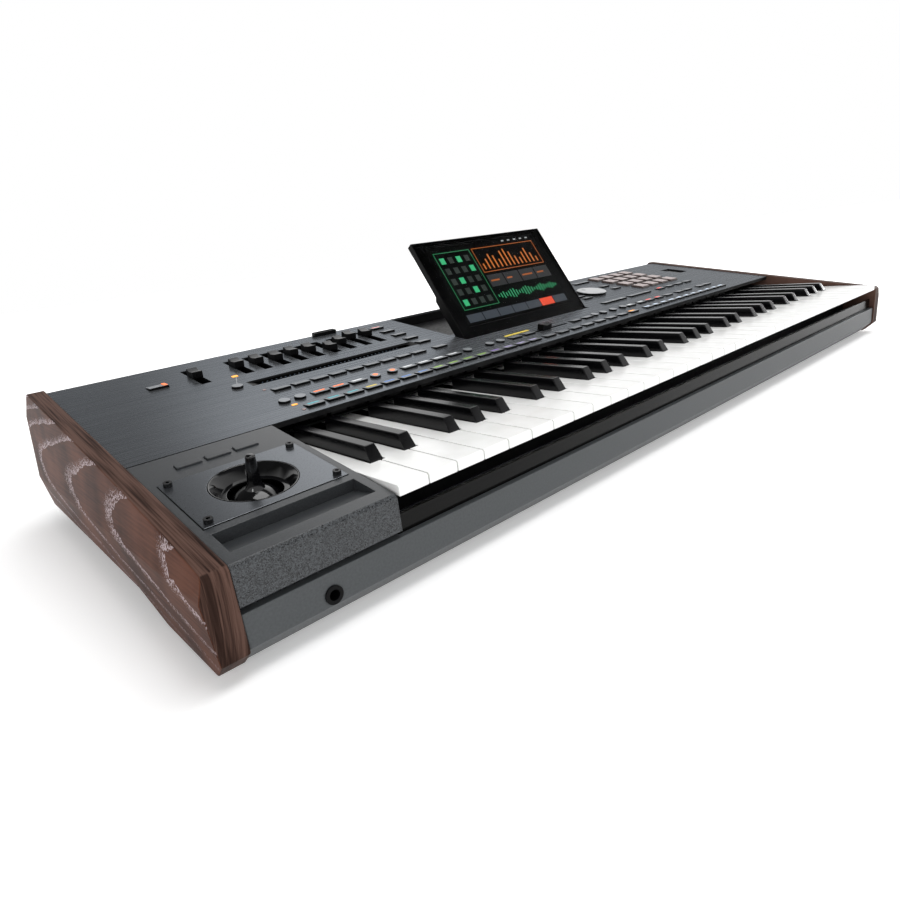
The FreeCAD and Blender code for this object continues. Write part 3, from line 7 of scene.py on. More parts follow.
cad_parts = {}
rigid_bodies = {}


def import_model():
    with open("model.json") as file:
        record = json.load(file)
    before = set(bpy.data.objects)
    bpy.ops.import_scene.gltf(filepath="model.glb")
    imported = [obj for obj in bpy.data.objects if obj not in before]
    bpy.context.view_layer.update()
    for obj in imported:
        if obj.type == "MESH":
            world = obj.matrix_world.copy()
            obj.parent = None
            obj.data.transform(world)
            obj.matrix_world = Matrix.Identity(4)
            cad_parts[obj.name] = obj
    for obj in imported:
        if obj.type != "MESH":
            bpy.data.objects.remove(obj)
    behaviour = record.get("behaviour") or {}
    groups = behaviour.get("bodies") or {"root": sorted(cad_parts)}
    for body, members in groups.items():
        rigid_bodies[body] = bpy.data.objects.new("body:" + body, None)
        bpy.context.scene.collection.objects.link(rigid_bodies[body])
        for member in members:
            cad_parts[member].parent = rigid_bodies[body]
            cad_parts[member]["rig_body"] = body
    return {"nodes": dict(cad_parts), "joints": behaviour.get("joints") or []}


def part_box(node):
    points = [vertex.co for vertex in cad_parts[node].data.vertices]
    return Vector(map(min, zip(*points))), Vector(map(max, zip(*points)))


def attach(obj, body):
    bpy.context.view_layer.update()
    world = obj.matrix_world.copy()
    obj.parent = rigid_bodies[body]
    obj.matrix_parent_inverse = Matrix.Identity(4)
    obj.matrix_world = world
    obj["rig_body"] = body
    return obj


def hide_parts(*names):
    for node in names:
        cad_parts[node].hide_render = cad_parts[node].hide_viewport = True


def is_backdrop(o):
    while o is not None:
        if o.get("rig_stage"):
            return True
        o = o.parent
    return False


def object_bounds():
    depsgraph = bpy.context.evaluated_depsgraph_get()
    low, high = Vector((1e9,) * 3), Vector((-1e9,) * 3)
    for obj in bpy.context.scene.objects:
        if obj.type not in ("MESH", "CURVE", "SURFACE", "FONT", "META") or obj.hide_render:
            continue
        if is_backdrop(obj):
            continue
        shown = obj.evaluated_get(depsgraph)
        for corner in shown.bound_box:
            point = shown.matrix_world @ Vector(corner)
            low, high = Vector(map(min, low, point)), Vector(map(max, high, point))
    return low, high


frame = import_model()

solid_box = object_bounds()
mm = 0.001


# The photographer's set: a white sweep to stand the instrument on and a large white wall of light
# behind it on the right, whose reflection lies along the panel. A soft box hangs overhead, and three
# weak lamps lighten the front.
def linear(code):
    """An sRGB hex colour as the linear red, green, blue and alpha that a shader takes."""
    channels = [int(code[i:i + 2], 16) / 255 for i in (0, 2, 4)]
    return [c / 12.92 if c <= 0.04045 else ((c + 0.055) / 1.055) ** 2.4 for c in channels] + [1]


def node(tree, kind, inputs, **settings):
    """One shader node with its settings; a socket given as an input is linked, a value is set."""
    made = tree.nodes.new(kind)
    for name, value in settings.items():
        setattr(made, name, value)
    for name, value in inputs.items():
        if isinstance(value, bpy.types.NodeSocket):
            tree.links.new(value, made.inputs[name])
        else:
            made.inputs[name].default_value = value
    return made


def surface(name):
    """A new material: its tree, its shader and the piece's own coordinates in metres."""
    material = bpy.data.materials.new(name)
    material.use_nodes = True
    tree = material.node_tree
    where = node(tree, "ShaderNodeTexCoord", {}).outputs["Object"]
    return material, tree, tree.nodes["Principled BSDF"], where


bpy.context.scene.view_settings.view_transform = "Standard"
floor_reach = 9
floor_form = bmesh.new()
bmesh.ops.create_grid(floor_form, x_segments=1, y_segments=1, size=floor_reach)
floor = bpy.data.objects.new("floor", bpy.data.meshes.new("floor"))
floor_form.to_mesh(floor.data)
floor_form.free()
bpy.context.scene.collection.objects.link(floor)
floor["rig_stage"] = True

# Matt white card: it gives back nearly all the light. It also glows, faintly near the instrument and more and
# more away from it: painted light, so that it runs out into white and keeps the shadow close to the feet.
card, tree, shader, where = surface("white_card")
shadow_reach = 0.5
white_reach = 1.5
reach = node(tree, "ShaderNodeVectorMath", {0: where}, operation="LENGTH")
glow = node(tree, "ShaderNodeMapRange", {"Value": reach.outputs["Value"], "From Min": shadow_reach,
                                         "From Max": white_reach, "To Min": 0.26, "To Max": 1.0})
tree.links.new(glow.outputs[0], shader.inputs["Emission Strength"])
shader.inputs["Emission Color"].default_value = linear("FFFFFF")
shader.inputs["Base Color"].default_value = linear("F4F4F4")
shader.inputs["Roughness"].default_value = 0.9
shader.inputs["Specular IOR Level"].default_value = 0.1
floor.data.materials.append(card)

# The room is white up to a little over eye level, higher on the player's side and straight behind the
# instrument. Above that it is white only in a patch on the right and dim elsewhere, which gives the
# flat metal its slow gradient. Heights and headings are parts of a unit direction.
room = bpy.data.worlds.new("room")
room.use_nodes = True
bpy.context.scene.world = room
tree = room.node_tree
wall_heading = (0.87, 0.5, 0.0)
wall_strength = 2.0
dim_strength = 0.1
player_side_lift = 0.17
far_side_lift = 0.05
direction = node(tree, "ShaderNodeTexCoord", {}).outputs["Generated"]
heading = node(tree, "ShaderNodeSeparateXYZ", {0: direction})
toward_wall = node(tree, "ShaderNodeVectorMath", {0: direction, 1: wall_heading}, operation="DOT_PRODUCT")
wall = node(tree, "ShaderNodeMapRange", {"Value": toward_wall.outputs["Value"], "From Min": 0.64,
                                         "From Max": 0.71, "To Min": dim_strength, "To Max": wall_strength})
raised = node(tree, "ShaderNodeMapRange", {"Value": heading.outputs["Y"], "From Min": 0.3, "From Max": 0.6,
                                           "To Min": player_side_lift, "To Max": 0.0})
ahead = node(tree, "ShaderNodeMapRange", {"Value": heading.outputs["Y"], "From Min": 0.72, "From Max": 0.88,
                                          "To Min": 0.0, "To Max": far_side_lift})
lift = node(tree, "ShaderNodeMath", {0: raised.outputs[0], 1: ahead.outputs[0]}, operation="ADD")
above = node(tree, "ShaderNodeMath", {0: heading.outputs["Z"], 1: lift.outputs[0]}, operation="SUBTRACT")
overhead = node(tree, "ShaderNodeMapRange", {"Value": above.outputs[0], "From Min": 0.31, "From Max": 0.42})
level = node(tree, "ShaderNodeMix", {0: overhead.outputs[0], 2: 1.0, 3: wall.outputs[0]})
background = tree.nodes["Background"]
background.inputs["Color"].default_value = linear("FFFFFF")
tree.links.new(level.outputs[0], background.inputs["Strength"])

# Each lamp has its place, the point that it faces, its width and height, and its power in watts.
for name, place, aim, size, power in (
        ("overhead_soft_box", (0.3, -0.5, 2.6), (0.0, 0.0, 0.1), (2.0, 1.6), 50),
        ("front_soft_box", (-0.69, -2.2, 1.42), (-0.43, -0.11, 0.09), (0.6, 0.4), 3),
        ("left_fill", (-2.6, -1.6, 1.1), (-0.3, 0.0, 0.05), (0.7, 0.7), 11),
        ("right_strip", (2.06, -0.33, 0.3), (-0.43, -0.11, 0.06), (0.6, 0.25), 6)):
    lamp = bpy.data.lights.new(name, "AREA")
    lamp.shape = "RECTANGLE"
    lamp.size = size[0]
    lamp.size_y = size[1]
    lamp.energy = power
    holder = bpy.data.objects.new(name, lamp)
    holder.location = place
    holder.rotation_euler = (Vector(aim) - Vector(place)).to_track_quat("-Z", "Y").to_euler()
    bpy.context.scene.collection.objects.link(holder)

# The camera stands close to the left front corner, a little above the keys, with a wide lens.
camera_at = (-0.56705, -0.46766, 0.19743)
camera_turn = -0.698
camera_dip = 0.318
camera_roll = -0.127
camera = bpy.data.objects.new("camera", bpy.data.cameras.new("camera"))
camera.data.lens = 25.231
camera.data.sensor_width = 36
camera.data.clip_start = 0.01
camera.matrix_world = (Matrix.Translation(camera_at) @ Matrix.Rotation(camera_turn, 4, "Z")
                       @ Matrix.Rotation(math.pi / 2 - camera_dip, 4, "X")
                       @ Matrix.Rotation(camera_roll, 4, "Z"))
bpy.context.scene.collection.objects.link(camera)
bpy.context.scene.camera = camera


# Two cheeks of solid ash close the ends: sawn from the board, flared towards the rear, filed at
# the edges, stained dark brown and limed, so that white paste stays in the open growth rings.
weld = 1e-6
flat_angle = math.radians(0.4)
edge_angle = math.radians(28)
crease_angle = math.radians(40)


def round_over(form, radius, least):
    """Rounds the outer edges of a form that are longer than that many radii."""
    outer = [e for e in form.edges if e.is_manifold and e.is_convex
             and e.calc_face_angle() > edge_angle and e.calc_length() > least * radius]
    bmesh.ops.bevel(form, geom=outer, offset=radius, offset_type="OFFSET", affect="EDGES", segments=2,
                    profile=0.5, material=-1, clamp_overlap=True)
    return form


def softened(name, radius, least=3.0):
    """A copy of a solid, merged, with its longer outer edges rounded over by that radius."""
    form = bmesh.new()
    form.from_mesh(frame["nodes"][name].data)
    bmesh.ops.remove_doubles(form, verts=form.verts, dist=weld)
    bmesh.ops.dissolve_limit(form, angle_limit=flat_angle, verts=form.verts, edges=form.edges)
    return round_over(form, radius, least)


def settle(form, name, slot, materials, *nodes, body=None, facing=None, share=0.6):
    """Makes a form a piece that rides its body; faces that look along facing take the second material."""
    form.normal_update()
    mesh = bpy.data.meshes.new(name)
    for material in materials:
        mesh.materials.append(material)
    if facing:
        for face in form.faces:
            face.material_index = int(face.normal.dot(facing) > share)
    form.to_mesh(mesh)
    form.free()
    mesh.shade_smooth()
    mesh.set_sharp_from_angle(angle=crease_angle)
    piece = bpy.data.objects.new(name, mesh)
    bpy.context.scene.collection.objects.link(piece)
    even = piece.modifiers.new("even_normals", "WEIGHTED_NORMAL")
    even.keep_sharp = True
    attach(piece, body or frame["nodes"][nodes[0]]["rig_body"])
    if nodes:
        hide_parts(*nodes)
    return piece


def grained(name, dark, light, grain, gloss, stretch=(1.0, 1.0, 1.0), **sockets):
    """A material whose colour and roughness vary together over a grain of that size in metres."""
    material, tree, shader, where = surface(name)
    way = node(tree, "ShaderNodeMapping", {"Vector": where, "Scale": stretch})
    noise = node(tree, "ShaderNodeTexNoise", {"Vector": way.outputs[0], "Scale": 1 / grain, "Detail": 3.0})
    spread = node(tree, "ShaderNodeMapRange", {"Value": noise.outputs["Fac"], "From Min": 0.3,
                                               "From Max": 0.7})
    tone = node(tree, "ShaderNodeMix", {0: spread.outputs[0], 6: linear(dark), 7: linear(light)},
                data_type="RGBA")
    sheen = node(tree, "ShaderNodeMapRange", {"Value": spread.outputs[0], "To Min": gloss[0],
                                              "To Max": gloss[1]})
    tree.links.new(tone.outputs[2], shader.inputs["Base Color"])
    tree.links.new(sheen.outputs[0], shader.inputs["Roughness"])
    for socket, value in sockets.items():
        shader.inputs[socket.replace("_", " ").title().replace("Ior", "IOR")].default_value = value
    return material


# Stained ash, limed: reddish brown, with whitish rings that nest like arches with their tops to the rear.
# The paste lies in worms of 1 to 2 mm, thick at each ring's outer edge and thinning out inwards. Near the
# lower edge it is worn away.
ash, tree, shader, where = surface("stained_limed_ash")
arch_height = 58 * mm
arch_lean = -0.9
arch_bend = 100.0
ring_pitch = 100 * mm
ring_start = 10.2
sway_reach = 60 * mm
sways_per_metre = 18.0
axes = node(tree, "ShaderNodeSeparateXYZ", {0: where})
drop = node(tree, "ShaderNodeMath", {0: axes.outputs["Z"], 1: arch_height}, operation="SUBTRACT")
squared = node(tree, "ShaderNodeMath", {0: drop.outputs[0], 1: drop.outputs[0]}, operation="MULTIPLY")
skewed = node(tree, "ShaderNodeMath", {0: drop.outputs[0], 1: arch_lean, 2: axes.outputs["Y"]},
              operation="MULTIPLY_ADD")
arch = node(tree, "ShaderNodeMath", {0: squared.outputs[0], 1: arch_bend, 2: skewed.outputs[0]},
            operation="MULTIPLY_ADD")
sway = node(tree, "ShaderNodeTexNoise", {"Vector": where, "Scale": sways_per_metre, "Detail": 4.0,
                                         "Roughness": 0.65})
waved = node(tree, "ShaderNodeMath", {0: sway.outputs["Fac"], 1: sway_reach, 2: arch.outputs[0]},
             operation="MULTIPLY_ADD")
turns = node(tree, "ShaderNodeMath", {0: waved.outputs[0], 1: 1 / ring_pitch, 2: ring_start},
             operation="MULTIPLY_ADD")
ring = node(tree, "ShaderNodeMath", {0: turns.outputs[0]}, operation="FRACT")

paste_grain = 2.6 * mm
paste_width = 0.15
paste_spread = 6.0
paste_thinning = 0.085
worn_below = 12 * mm
whole_above = 42 * mm
cheek_out = 0.49
tail = node(tree, "ShaderNodeMath", {0: drop.outputs[0]}, operation="ABSOLUTE")
width = node(tree, "ShaderNodeMath", {0: tail.outputs[0], 1: paste_spread, 2: paste_width},
             operation="MULTIPLY_ADD")
inward = node(tree, "ShaderNodeMath", {0: ring.outputs[0], 1: width.outputs[0]}, operation="DIVIDE")
speck = node(tree, "ShaderNodeTexNoise", {"Vector": where, "Scale": 1 / paste_grain, "Detail": 2.0})
worm = node(tree, "ShaderNodeMath", {0: speck.outputs["Fac"], 1: 0.5}, operation="SUBTRACT")
worm_line = node(tree, "ShaderNodeMath", {0: worm.outputs[0]}, operation="ABSOLUTE")
thinned = node(tree, "ShaderNodeMath", {0: inward.outputs[0], 1: paste_thinning, 2: worm_line.outputs[0]},
               operation="MULTIPLY_ADD")
lime = node(tree, "ShaderNodeMapRange", {"Value": thinned.outputs[0], "From Min": 0.055, "From Max": 0.09,
                                         "To Min": 1.0, "To Max": 0.0})
# Only the outer face takes the cloudy stain and the lime; the inner face, towards the keys, gets the edge
# colour: painted shade.
side = node(tree, "ShaderNodeSeparateXYZ", {0: node(tree, "ShaderNodeNewGeometry", {}).outputs["Normal"]})
sideways = node(tree, "ShaderNodeMath", {0: side.outputs["X"], 1: axes.outputs["X"]}, operation="MULTIPLY")
outer_face = node(tree, "ShaderNodeMapRange", {"Value": sideways.outputs[0], "From Min": 0.5 * cheek_out,
                                            "From Max": 0.8 * cheek_out})
worn = node(tree, "ShaderNodeMapRange", {"Value": axes.outputs["Z"], "From Min": worn_below,
                                         "From Max": whole_above, "To Min": 0.2, "To Max": 1.0})
kept_lime = node(tree, "ShaderNodeMath", {0: lime.outputs[0], 1: worn.outputs[0]}, operation="MULTIPLY")
paste = node(tree, "ShaderNodeMath", {0: kept_lime.outputs[0], 1: outer_face.outputs[0]}, operation="MULTIPLY")

# On the outer face the stain is cloudy over fine fibres. The edges show pores drawn along the board, and the
# front end the bowed lines of its end grain. The inner face takes the edge colour without lime: painted shade
# that keeps it dark.
fibre_width = 1.4 * mm
stain_patch = 45 * mm
growth_width = 2.6 * mm
growth_bow = 2.2
pore_width = 1.3 * mm
fibre_way = node(tree, "ShaderNodeMapping", {"Vector": where, "Scale": (1.0, 0.03, 1.0)})
fibre = node(tree, "ShaderNodeTexNoise", {"Vector": fibre_way.outputs[0], "Scale": 1 / fibre_width,
                                          "Detail": 2.0})
stain = node(tree, "ShaderNodeTexNoise", {"Vector": where, "Scale": 1 / stain_patch, "Detail": 2.0})
blend = node(tree, "ShaderNodeMix", {0: 0.65, 2: fibre.outputs["Fac"], 3: stain.outputs["Fac"]})
shade = node(tree, "ShaderNodeMapRange", {"Value": blend.outputs[0], "From Min": 0.36, "From Max": 0.64})
brown = node(tree, "ShaderNodeMix", {0: shade.outputs[0], 6: linear("341D16"), 7: linear("5E3A2C")},
             data_type="RGBA")
bow = node(tree, "ShaderNodeMath", {0: squared.outputs[0], 1: growth_bow, 2: axes.outputs["X"]},
           operation="MULTIPLY_ADD")
bowed = node(tree, "ShaderNodeCombineXYZ", {"X": bow.outputs[0], "Y": axes.outputs["Y"],
                                            "Z": axes.outputs["Z"]})
stripe_way = node(tree, "ShaderNodeMapping", {"Vector": bowed.outputs[0], "Scale": (1.0, 0.05, 0.03)})
growth = node(tree, "ShaderNodeTexNoise", {"Vector": stripe_way.outputs[0], "Scale": 1 / growth_width,
                                           "Detail": 3.0, "Roughness": 0.7})
stripe = node(tree, "ShaderNodeMapRange", {"Value": growth.outputs["Fac"], "From Min": 0.42,
                                           "From Max": 0.62})
pore_way = node(tree, "ShaderNodeMapping", {"Vector": where, "Scale": (1.0, 0.02, 0.05)})
pore = node(tree, "ShaderNodeTexNoise", {"Vector": pore_way.outputs[0], "Scale": 1 / pore_width,
                                         "Detail": 2.0})
pores = node(tree, "ShaderNodeMapRange", {"Value": pore.outputs["Fac"], "From Min": 0.3, "From Max": 0.6})
endways = node(tree, "ShaderNodeMath", {0: side.outputs["Y"]}, operation="ABSOLUTE")
end_grain = node(tree, "ShaderNodeMapRange", {"Value": endways.outputs[0], "From Min": 0.4, "From Max": 0.7,
                                              "To Min": 0.0, "To Max": 0.85})
edge_shade = node(tree, "ShaderNodeMix", {0: end_grain.outputs[0], 2: pores.outputs[0],
                                          3: stripe.outputs[0]})
edge_and_inner_shade_brown = node(tree, "ShaderNodeMix", {0: edge_shade.outputs[0], 6: linear("241814"),
                                          7: linear("5C463E")}, data_type="RGBA")
stained = node(tree, "ShaderNodeMix", {0: outer_face.outputs[0], 6: edge_and_inner_shade_brown.outputs[2],
                                       7: brown.outputs[2]}, data_type="RGBA")
limed = node(tree, "ShaderNodeMix", {0: paste.outputs[0], 6: stained.outputs[2], 7: linear("AC9DA0")},
             data_type="RGBA")
grooves = node(tree, "ShaderNodeBump", {"Height": fibre.outputs["Fac"], "Strength": 0.2,
                                        "Distance": 0.3 * mm})
tree.links.new(limed.outputs[2], shader.inputs["Base Color"])
tree.links.new(grooves.outputs[0], shader.inputs["Normal"])
shader.inputs["Roughness"].default_value = 0.4
shader.inputs["Specular IOR Level"].default_value = 0.02

for cheek in ("left_cheek", "right_cheek"):
    settle(softened(cheek, 0.9 * mm), cheek + "_board", "stained_ash", [ash], cheek)


# The case: a folded steel tray and rear panel, painted dark grey and screwed to the cheeks, with
# moulded sockets along the rear. Rubber feet stand under the cheeks.
def dress(material, *names):
    """Gives a finish to solids that are shown as they are."""
    for name in names:
        frame["nodes"][name].material_slots[0].material = material


# Satin paint on steel: cool dark grey, with an orange peel of about 1.5 mm that softens reflections.
paint = grained("satin_paint", "3E4143", "474A4C", 1.5 * mm, (0.34, 0.46), specular_ior_level=0.35)
dress(paint, "bottom_tray", "rear_panel")

# Black moulded plastic: a fine sparked texture, about half a millimetre, that takes most gloss away.
# The same black also stands for shade: on the joystick plate's edges, on the sides of the button caps and on the
# wheel's rim and underside.
black_plastic_and_shade = grained("black_plastic_and_painted_shade", "030304", "0A0A0B", 0.5 * mm, (0.3, 0.5), specular_ior_level=0.1)
settle(softened("rear_sockets", 0.3 * mm), "socket_row", "black_plastic", [black_plastic_and_shade], "rear_sockets")

# Rubber: matt, nearly black, with a dusty bloom in patches of some millimetres.
rubber = grained("foot_rubber", "0D0D0D", "222221", 4 * mm, (0.8, 0.9), specular_ior_level=0.2)
settle(softened("rubber_feet", 0.8 * mm), "feet", "foot_rubber", [rubber], "rubber_feet")


# The front rail is an extrusion in the same paint with a wide bevel under its face; the headphone
# jack sits in it in a black collar. The key slip above it is a polished black strip.
settle(softened("front_rail", 0.6 * mm), "rail", "painted_steel", [paint], "front_rail")
settle(softened("headphone_jack", 0.3 * mm), "jack", "black_plastic", [black_plastic_and_shade], "headphone_jack")

# Black lacquer: smooth and deep, faintly smeared along its length where it is wiped.
lacquer = grained("black_lacquer", "030303", "080807", 9 * mm, (0.1, 0.22), stretch=(0.2, 1.0, 1.0),
                  specular_ior_level=0.14)
settle(softened("key_slip", 0.4 * mm), "slip", "gloss_black", [lacquer], "key_slip")


# The control block left of the keys is one ABS moulding with a finger scoop, and three flat
# switches of the same plastic stand in it behind the joystick.
# ABS with a spatter: blue-grey grains of half a millimetre. On the front faces their contrast is strong, partly
# the spatter's own colours and partly painted glint, one for each grain; elsewhere it is faint.
spatter, tree, shader, where = surface("spattered_abs")
grit = 0.55 * mm
front_depth = 16 * mm
faint_fleck_share = 0.25
grain = node(tree, "ShaderNodeTexVoronoi", {"Vector": where, "Scale": 1 / grit})
fleck = node(tree, "ShaderNodeSeparateColor", {0: grain.outputs["Color"]})
up = node(tree, "ShaderNodeSeparateXYZ", {0: node(tree, "ShaderNodeNewGeometry", {}).outputs["Normal"]})
depth = node(tree, "ShaderNodeSeparateXYZ", {0: where}).outputs["Y"]
# The front faces take the strong contrast, a painted glint on each grain; the top and the scoop keep a faint
# grain.
front = node(tree, "ShaderNodeMath", {0: depth, 1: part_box("control_block")[0].y + front_depth},
             operation="LESS_THAN")
steep = node(tree, "ShaderNodeMapRange", {"Value": up.outputs["Z"], "From Min": 0.9, "From Max": 0.75})
struck = node(tree, "ShaderNodeMath", {0: front.outputs[0], 1: steep.outputs[0]}, operation="MULTIPLY")
fleck_and_glint_contrast = node(tree, "ShaderNodeMapRange", {"Value": struck.outputs[0], "To Min": faint_fleck_share, "To Max": 1.0})
offset = node(tree, "ShaderNodeMath", {0: fleck.outputs[0], 1: 0.5}, operation="SUBTRACT")
amount = node(tree, "ShaderNodeMath", {0: offset.outputs[0], 1: fleck_and_glint_contrast.outputs[0], 2: 0.5},
              operation="MULTIPLY_ADD")
tone = node(tree, "ShaderNodeMix", {0: amount.outputs[0], 6: linear("0D0E0F"), 7: linear("4A4D50")},
            data_type="RGBA")
sheen = node(tree, "ShaderNodeMapRange", {"Value": amount.outputs[0], "To Min": 0.26, "To Max": 0.44})
pits = node(tree, "ShaderNodeBump", {"Height": grain.outputs["Distance"], "Strength": 0.25,
                                     "Distance": 0.1 * mm})
tree.links.new(tone.outputs[2], shader.inputs["Base Color"])
tree.links.new(sheen.outputs[0], shader.inputs["Roughness"])
tree.links.new(pits.outputs[0], shader.inputs["Normal"])
shader.inputs["Specular IOR Level"].default_value = 0.4
settle(softened("control_block", 0.5 * mm), "block", "grey_plastic", [spatter], "control_block")
settle(softened("assignable_switches", 0.35 * mm), "switches", "grey_plastic", [spatter],
       "assignable_switches")


# The joystick stands in a polished bowl under an anodised plate, which four black socket-head
# screws hold; its stick is turned in one piece with the dome that closes the bowl.
# Satin anodised aluminium: blasted before it was dyed, so the sheen is even and finely grained.
plate = grained("satin_anodised", "686B6F", "6E7175", 0.5 * mm, (0.27, 0.29), metallic=0.9,
                specular_tint=linear("E6E8EA"))

# The panel's own frame has x along the instrument, u up the slope from the front edge, and w out of it.
joints = {joint["name"]: joint for joint in frame["joints"]}
slope = joints["slider_1_travel"]["axis"]
wheel_at = joints["wheel_turn"]["pos_m"]
tilt = math.atan2(slope[2], slope[1])
panel_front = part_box("top_panel")[0].y
panel_height = wheel_at[2] - (wheel_at[1] - panel_front) * math.tan(tilt)
panel = Matrix.Translation((0, panel_front, panel_height)) @ Matrix.Rotation(tilt, 4, "X")
panel_up = panel.to_3x3() @ Vector((0, 0, 1))
# The plate's sides and rounded edges take the black plastic: painted shade of the dark groove round the plate.
settle(softened("joystick_plate", 0.35 * mm), "stick_plate", "satin_plate", [black_plastic_and_shade, plate], "joystick_plate",
       facing=panel_up, share=0.8)

# Polished black acetal: a deep gloss that throws back the lamps, with faint turning marks.
polish = grained("polished_acetal", "040405", "0A0A0C", 6 * mm, (0.05, 0.14))


def islands(name, place):
    """The separate solids of a node as boxes in that place's own frame, from left to right."""
    form = bmesh.new()
    form.from_mesh(frame["nodes"][name].data)
    bmesh.ops.remove_doubles(form, verts=form.verts, dist=weld)
    bmesh.ops.transform(form, matrix=place.inverted(), verts=form.verts)
    boxes = []
    left = set(form.verts)
    while left:
        edge = [left.pop()]
        found = list(edge)
        while edge:
            near = {e.other_vert(v) for v in edge for e in v.link_edges} & left
            left -= near
            edge = list(near)
            found += edge
        boxes.append((Vector(min(v.co[i] for v in found) for i in range(3)),
                      Vector(max(v.co[i] for v in found) for i in range(3))))
    form.free()
    return sorted(boxes, key=lambda box: box[0].x + box[1].x)


def turned(profile, x, u):
    """A form turned about an upright on the panel from the (radius, height) points of its closed profile."""
    form = bmesh.new()
    points = [form.verts.new((x + radius, u, height)) for radius, height in profile]
    lines = [form.edges.new(pair) for pair in zip(points, points[1:] + points[:1])]
    bmesh.ops.spin(form, geom=points + lines, cent=(x, u, 0), axis=(0, 0, 1), angle=2 * math.pi, steps=96,
                   use_merge=True)
    bmesh.ops.remove_doubles(form, verts=form.verts, dist=weld)
    bmesh.ops.recalc_face_normals(form, faces=form.faces)
    bmesh.ops.transform(form, matrix=panel, verts=form.verts)
    return form


bowl_low, bowl_high = islands("joystick_bezel", panel)[0]
stick_x = (bowl_low.x + bowl_high.x) / 2
stick_u = (bowl_low.y + bowl_high.y) / 2
rim = (bowl_high.x - bowl_low.x) / 2
bowl_hole = 17 * mm
bowl_floor = bowl_low.z + 1.5 * mm
bowl_wall = 24 * mm
bowl_foot = 20.5 * mm
chamfer = 2.2 * mm
bowl = turned([(bowl_hole, bowl_low.z), (rim, bowl_low.z), (rim, bowl_high.z),
               (bowl_wall + chamfer, bowl_high.z), (bowl_wall, bowl_high.z - chamfer),
               (bowl_foot, bowl_floor), (bowl_hole, bowl_floor)], stick_x, stick_u)
settle(round_over(bowl, 0.3 * mm, 1.0), "bowl", "gloss_black", [polish], "joystick_bezel")

# The stick's outline above the dome, as radius and distance below its tip in millimetres.
stick_outline = ((6.0, 22.3), (4.9, 20.6), (4.3, 18.2), (4.0, 15), (3.0, 1.2), (2.7, 0.4), (2.1, 0.0),
                 (0, 0.0))
stick_reach = 40.5 * mm
stick_tip = islands("joystick_stick", panel)[0][1].z
pivot = stick_tip - stick_reach
dome = 19.3 * mm
dome_turn = [math.radians(degrees) for degrees in range(30, 67, 6)]
dome_outline = [(dome * math.cos(a), pivot + dome * math.sin(a)) for a in dome_turn]
stick = turned([(0, pivot + dome / 2)] + dome_outline
               + [(radius * mm, stick_tip - below * mm) for radius, below in stick_outline], stick_x, stick_u)
settle(stick, "stick", "gloss_black", [polish], "joystick_stick")

# Black oxide on steel screws: dark, oily and slightly uneven.
oxide = grained("black_oxide", "0E0E0F", "2A2B2D", 1.2 * mm, (0.25, 0.45), metallic=0.6)
settle(softened("plate_screws", 0.2 * mm, 1.0), "screws", "black_steel", [oxide], "plate_screws")
dress(black_plastic_and_shade, "joystick_base", "joystick_gimbal")


# The keys: hollow mouldings on one pivot rod over a steel frame. White ones have a lip that
# overhangs the slip, black ones a sloped front and slanted sides.
# White acrylic: polished, very slightly warm, with a skin that varies a little in gloss.
ivory = grained("white_acrylic", "F1F1EF", "F5F5F4", 14 * mm, (0.14, 0.22))
for note in ("c", "d", "e", "f", "g", "a", "b"):
    settle(softened(note + "_keys", 0.45 * mm), note + "_whites", "white_key", [ivory], note + "_keys")

# Black key plastic: satin along its length, with faint drawn streaks from polishing.
ebony = grained("satin_black_key", "030304", "070709", 1.6 * mm, (0.16, 0.22), stretch=(1.0, 0.06, 1.0),
                specular_ior_level=0.3)
for note in ("c", "d", "f", "g", "a"):
    settle(softened(note + "_sharp_keys", 0.7 * mm), note + "_blacks", "black_key", [ebony],
           note + "_sharp_keys")

# Zinc plate: pale, cool and cloudy in patches of a centimetre.
zinc = grained("zinc_plate", "8E9092", "B4B6B8", 10 * mm, (0.25, 0.45), metallic=1.0)
dress(zinc, "key_pivot_rod", "power_supply", "screen_hinge_pins")

# The key frame is dipped in black, so that nothing shows between the keys.
# The same black is painted shade on the top panel's folded lip and hole walls, and in the bay's slits.
dipped_black_and_shade = grained("black_dipped_steel_and_painted_shade", "070708", "121214", 3 * mm, (0.4, 0.6), specular_ior_level=0.2)
dress(dipped_black_and_shade, "key_frame")

# Black solder mask on circuit boards: lacquer, a little paler along the copper lines around fields of
# 5 by 2.5 mm.
mask, tree, shader, where = surface("solder_mask")
track_field = 10 * mm
lines = node(tree, "ShaderNodeTexBrick", {"Vector": where, "Color1": linear("050606"),
                                          "Color2": linear("070808"), "Mortar": linear("0E1110"),
                                          "Scale": 1 / track_field, "Mortar Size": 0.03})
tree.links.new(lines.outputs["Color"], shader.inputs["Base Color"])
shader.inputs["Roughness"].default_value = 0.6
shader.inputs["Specular IOR Level"].default_value = 0.1
dress(mask, "contact_board", "main_board", "panel_board")


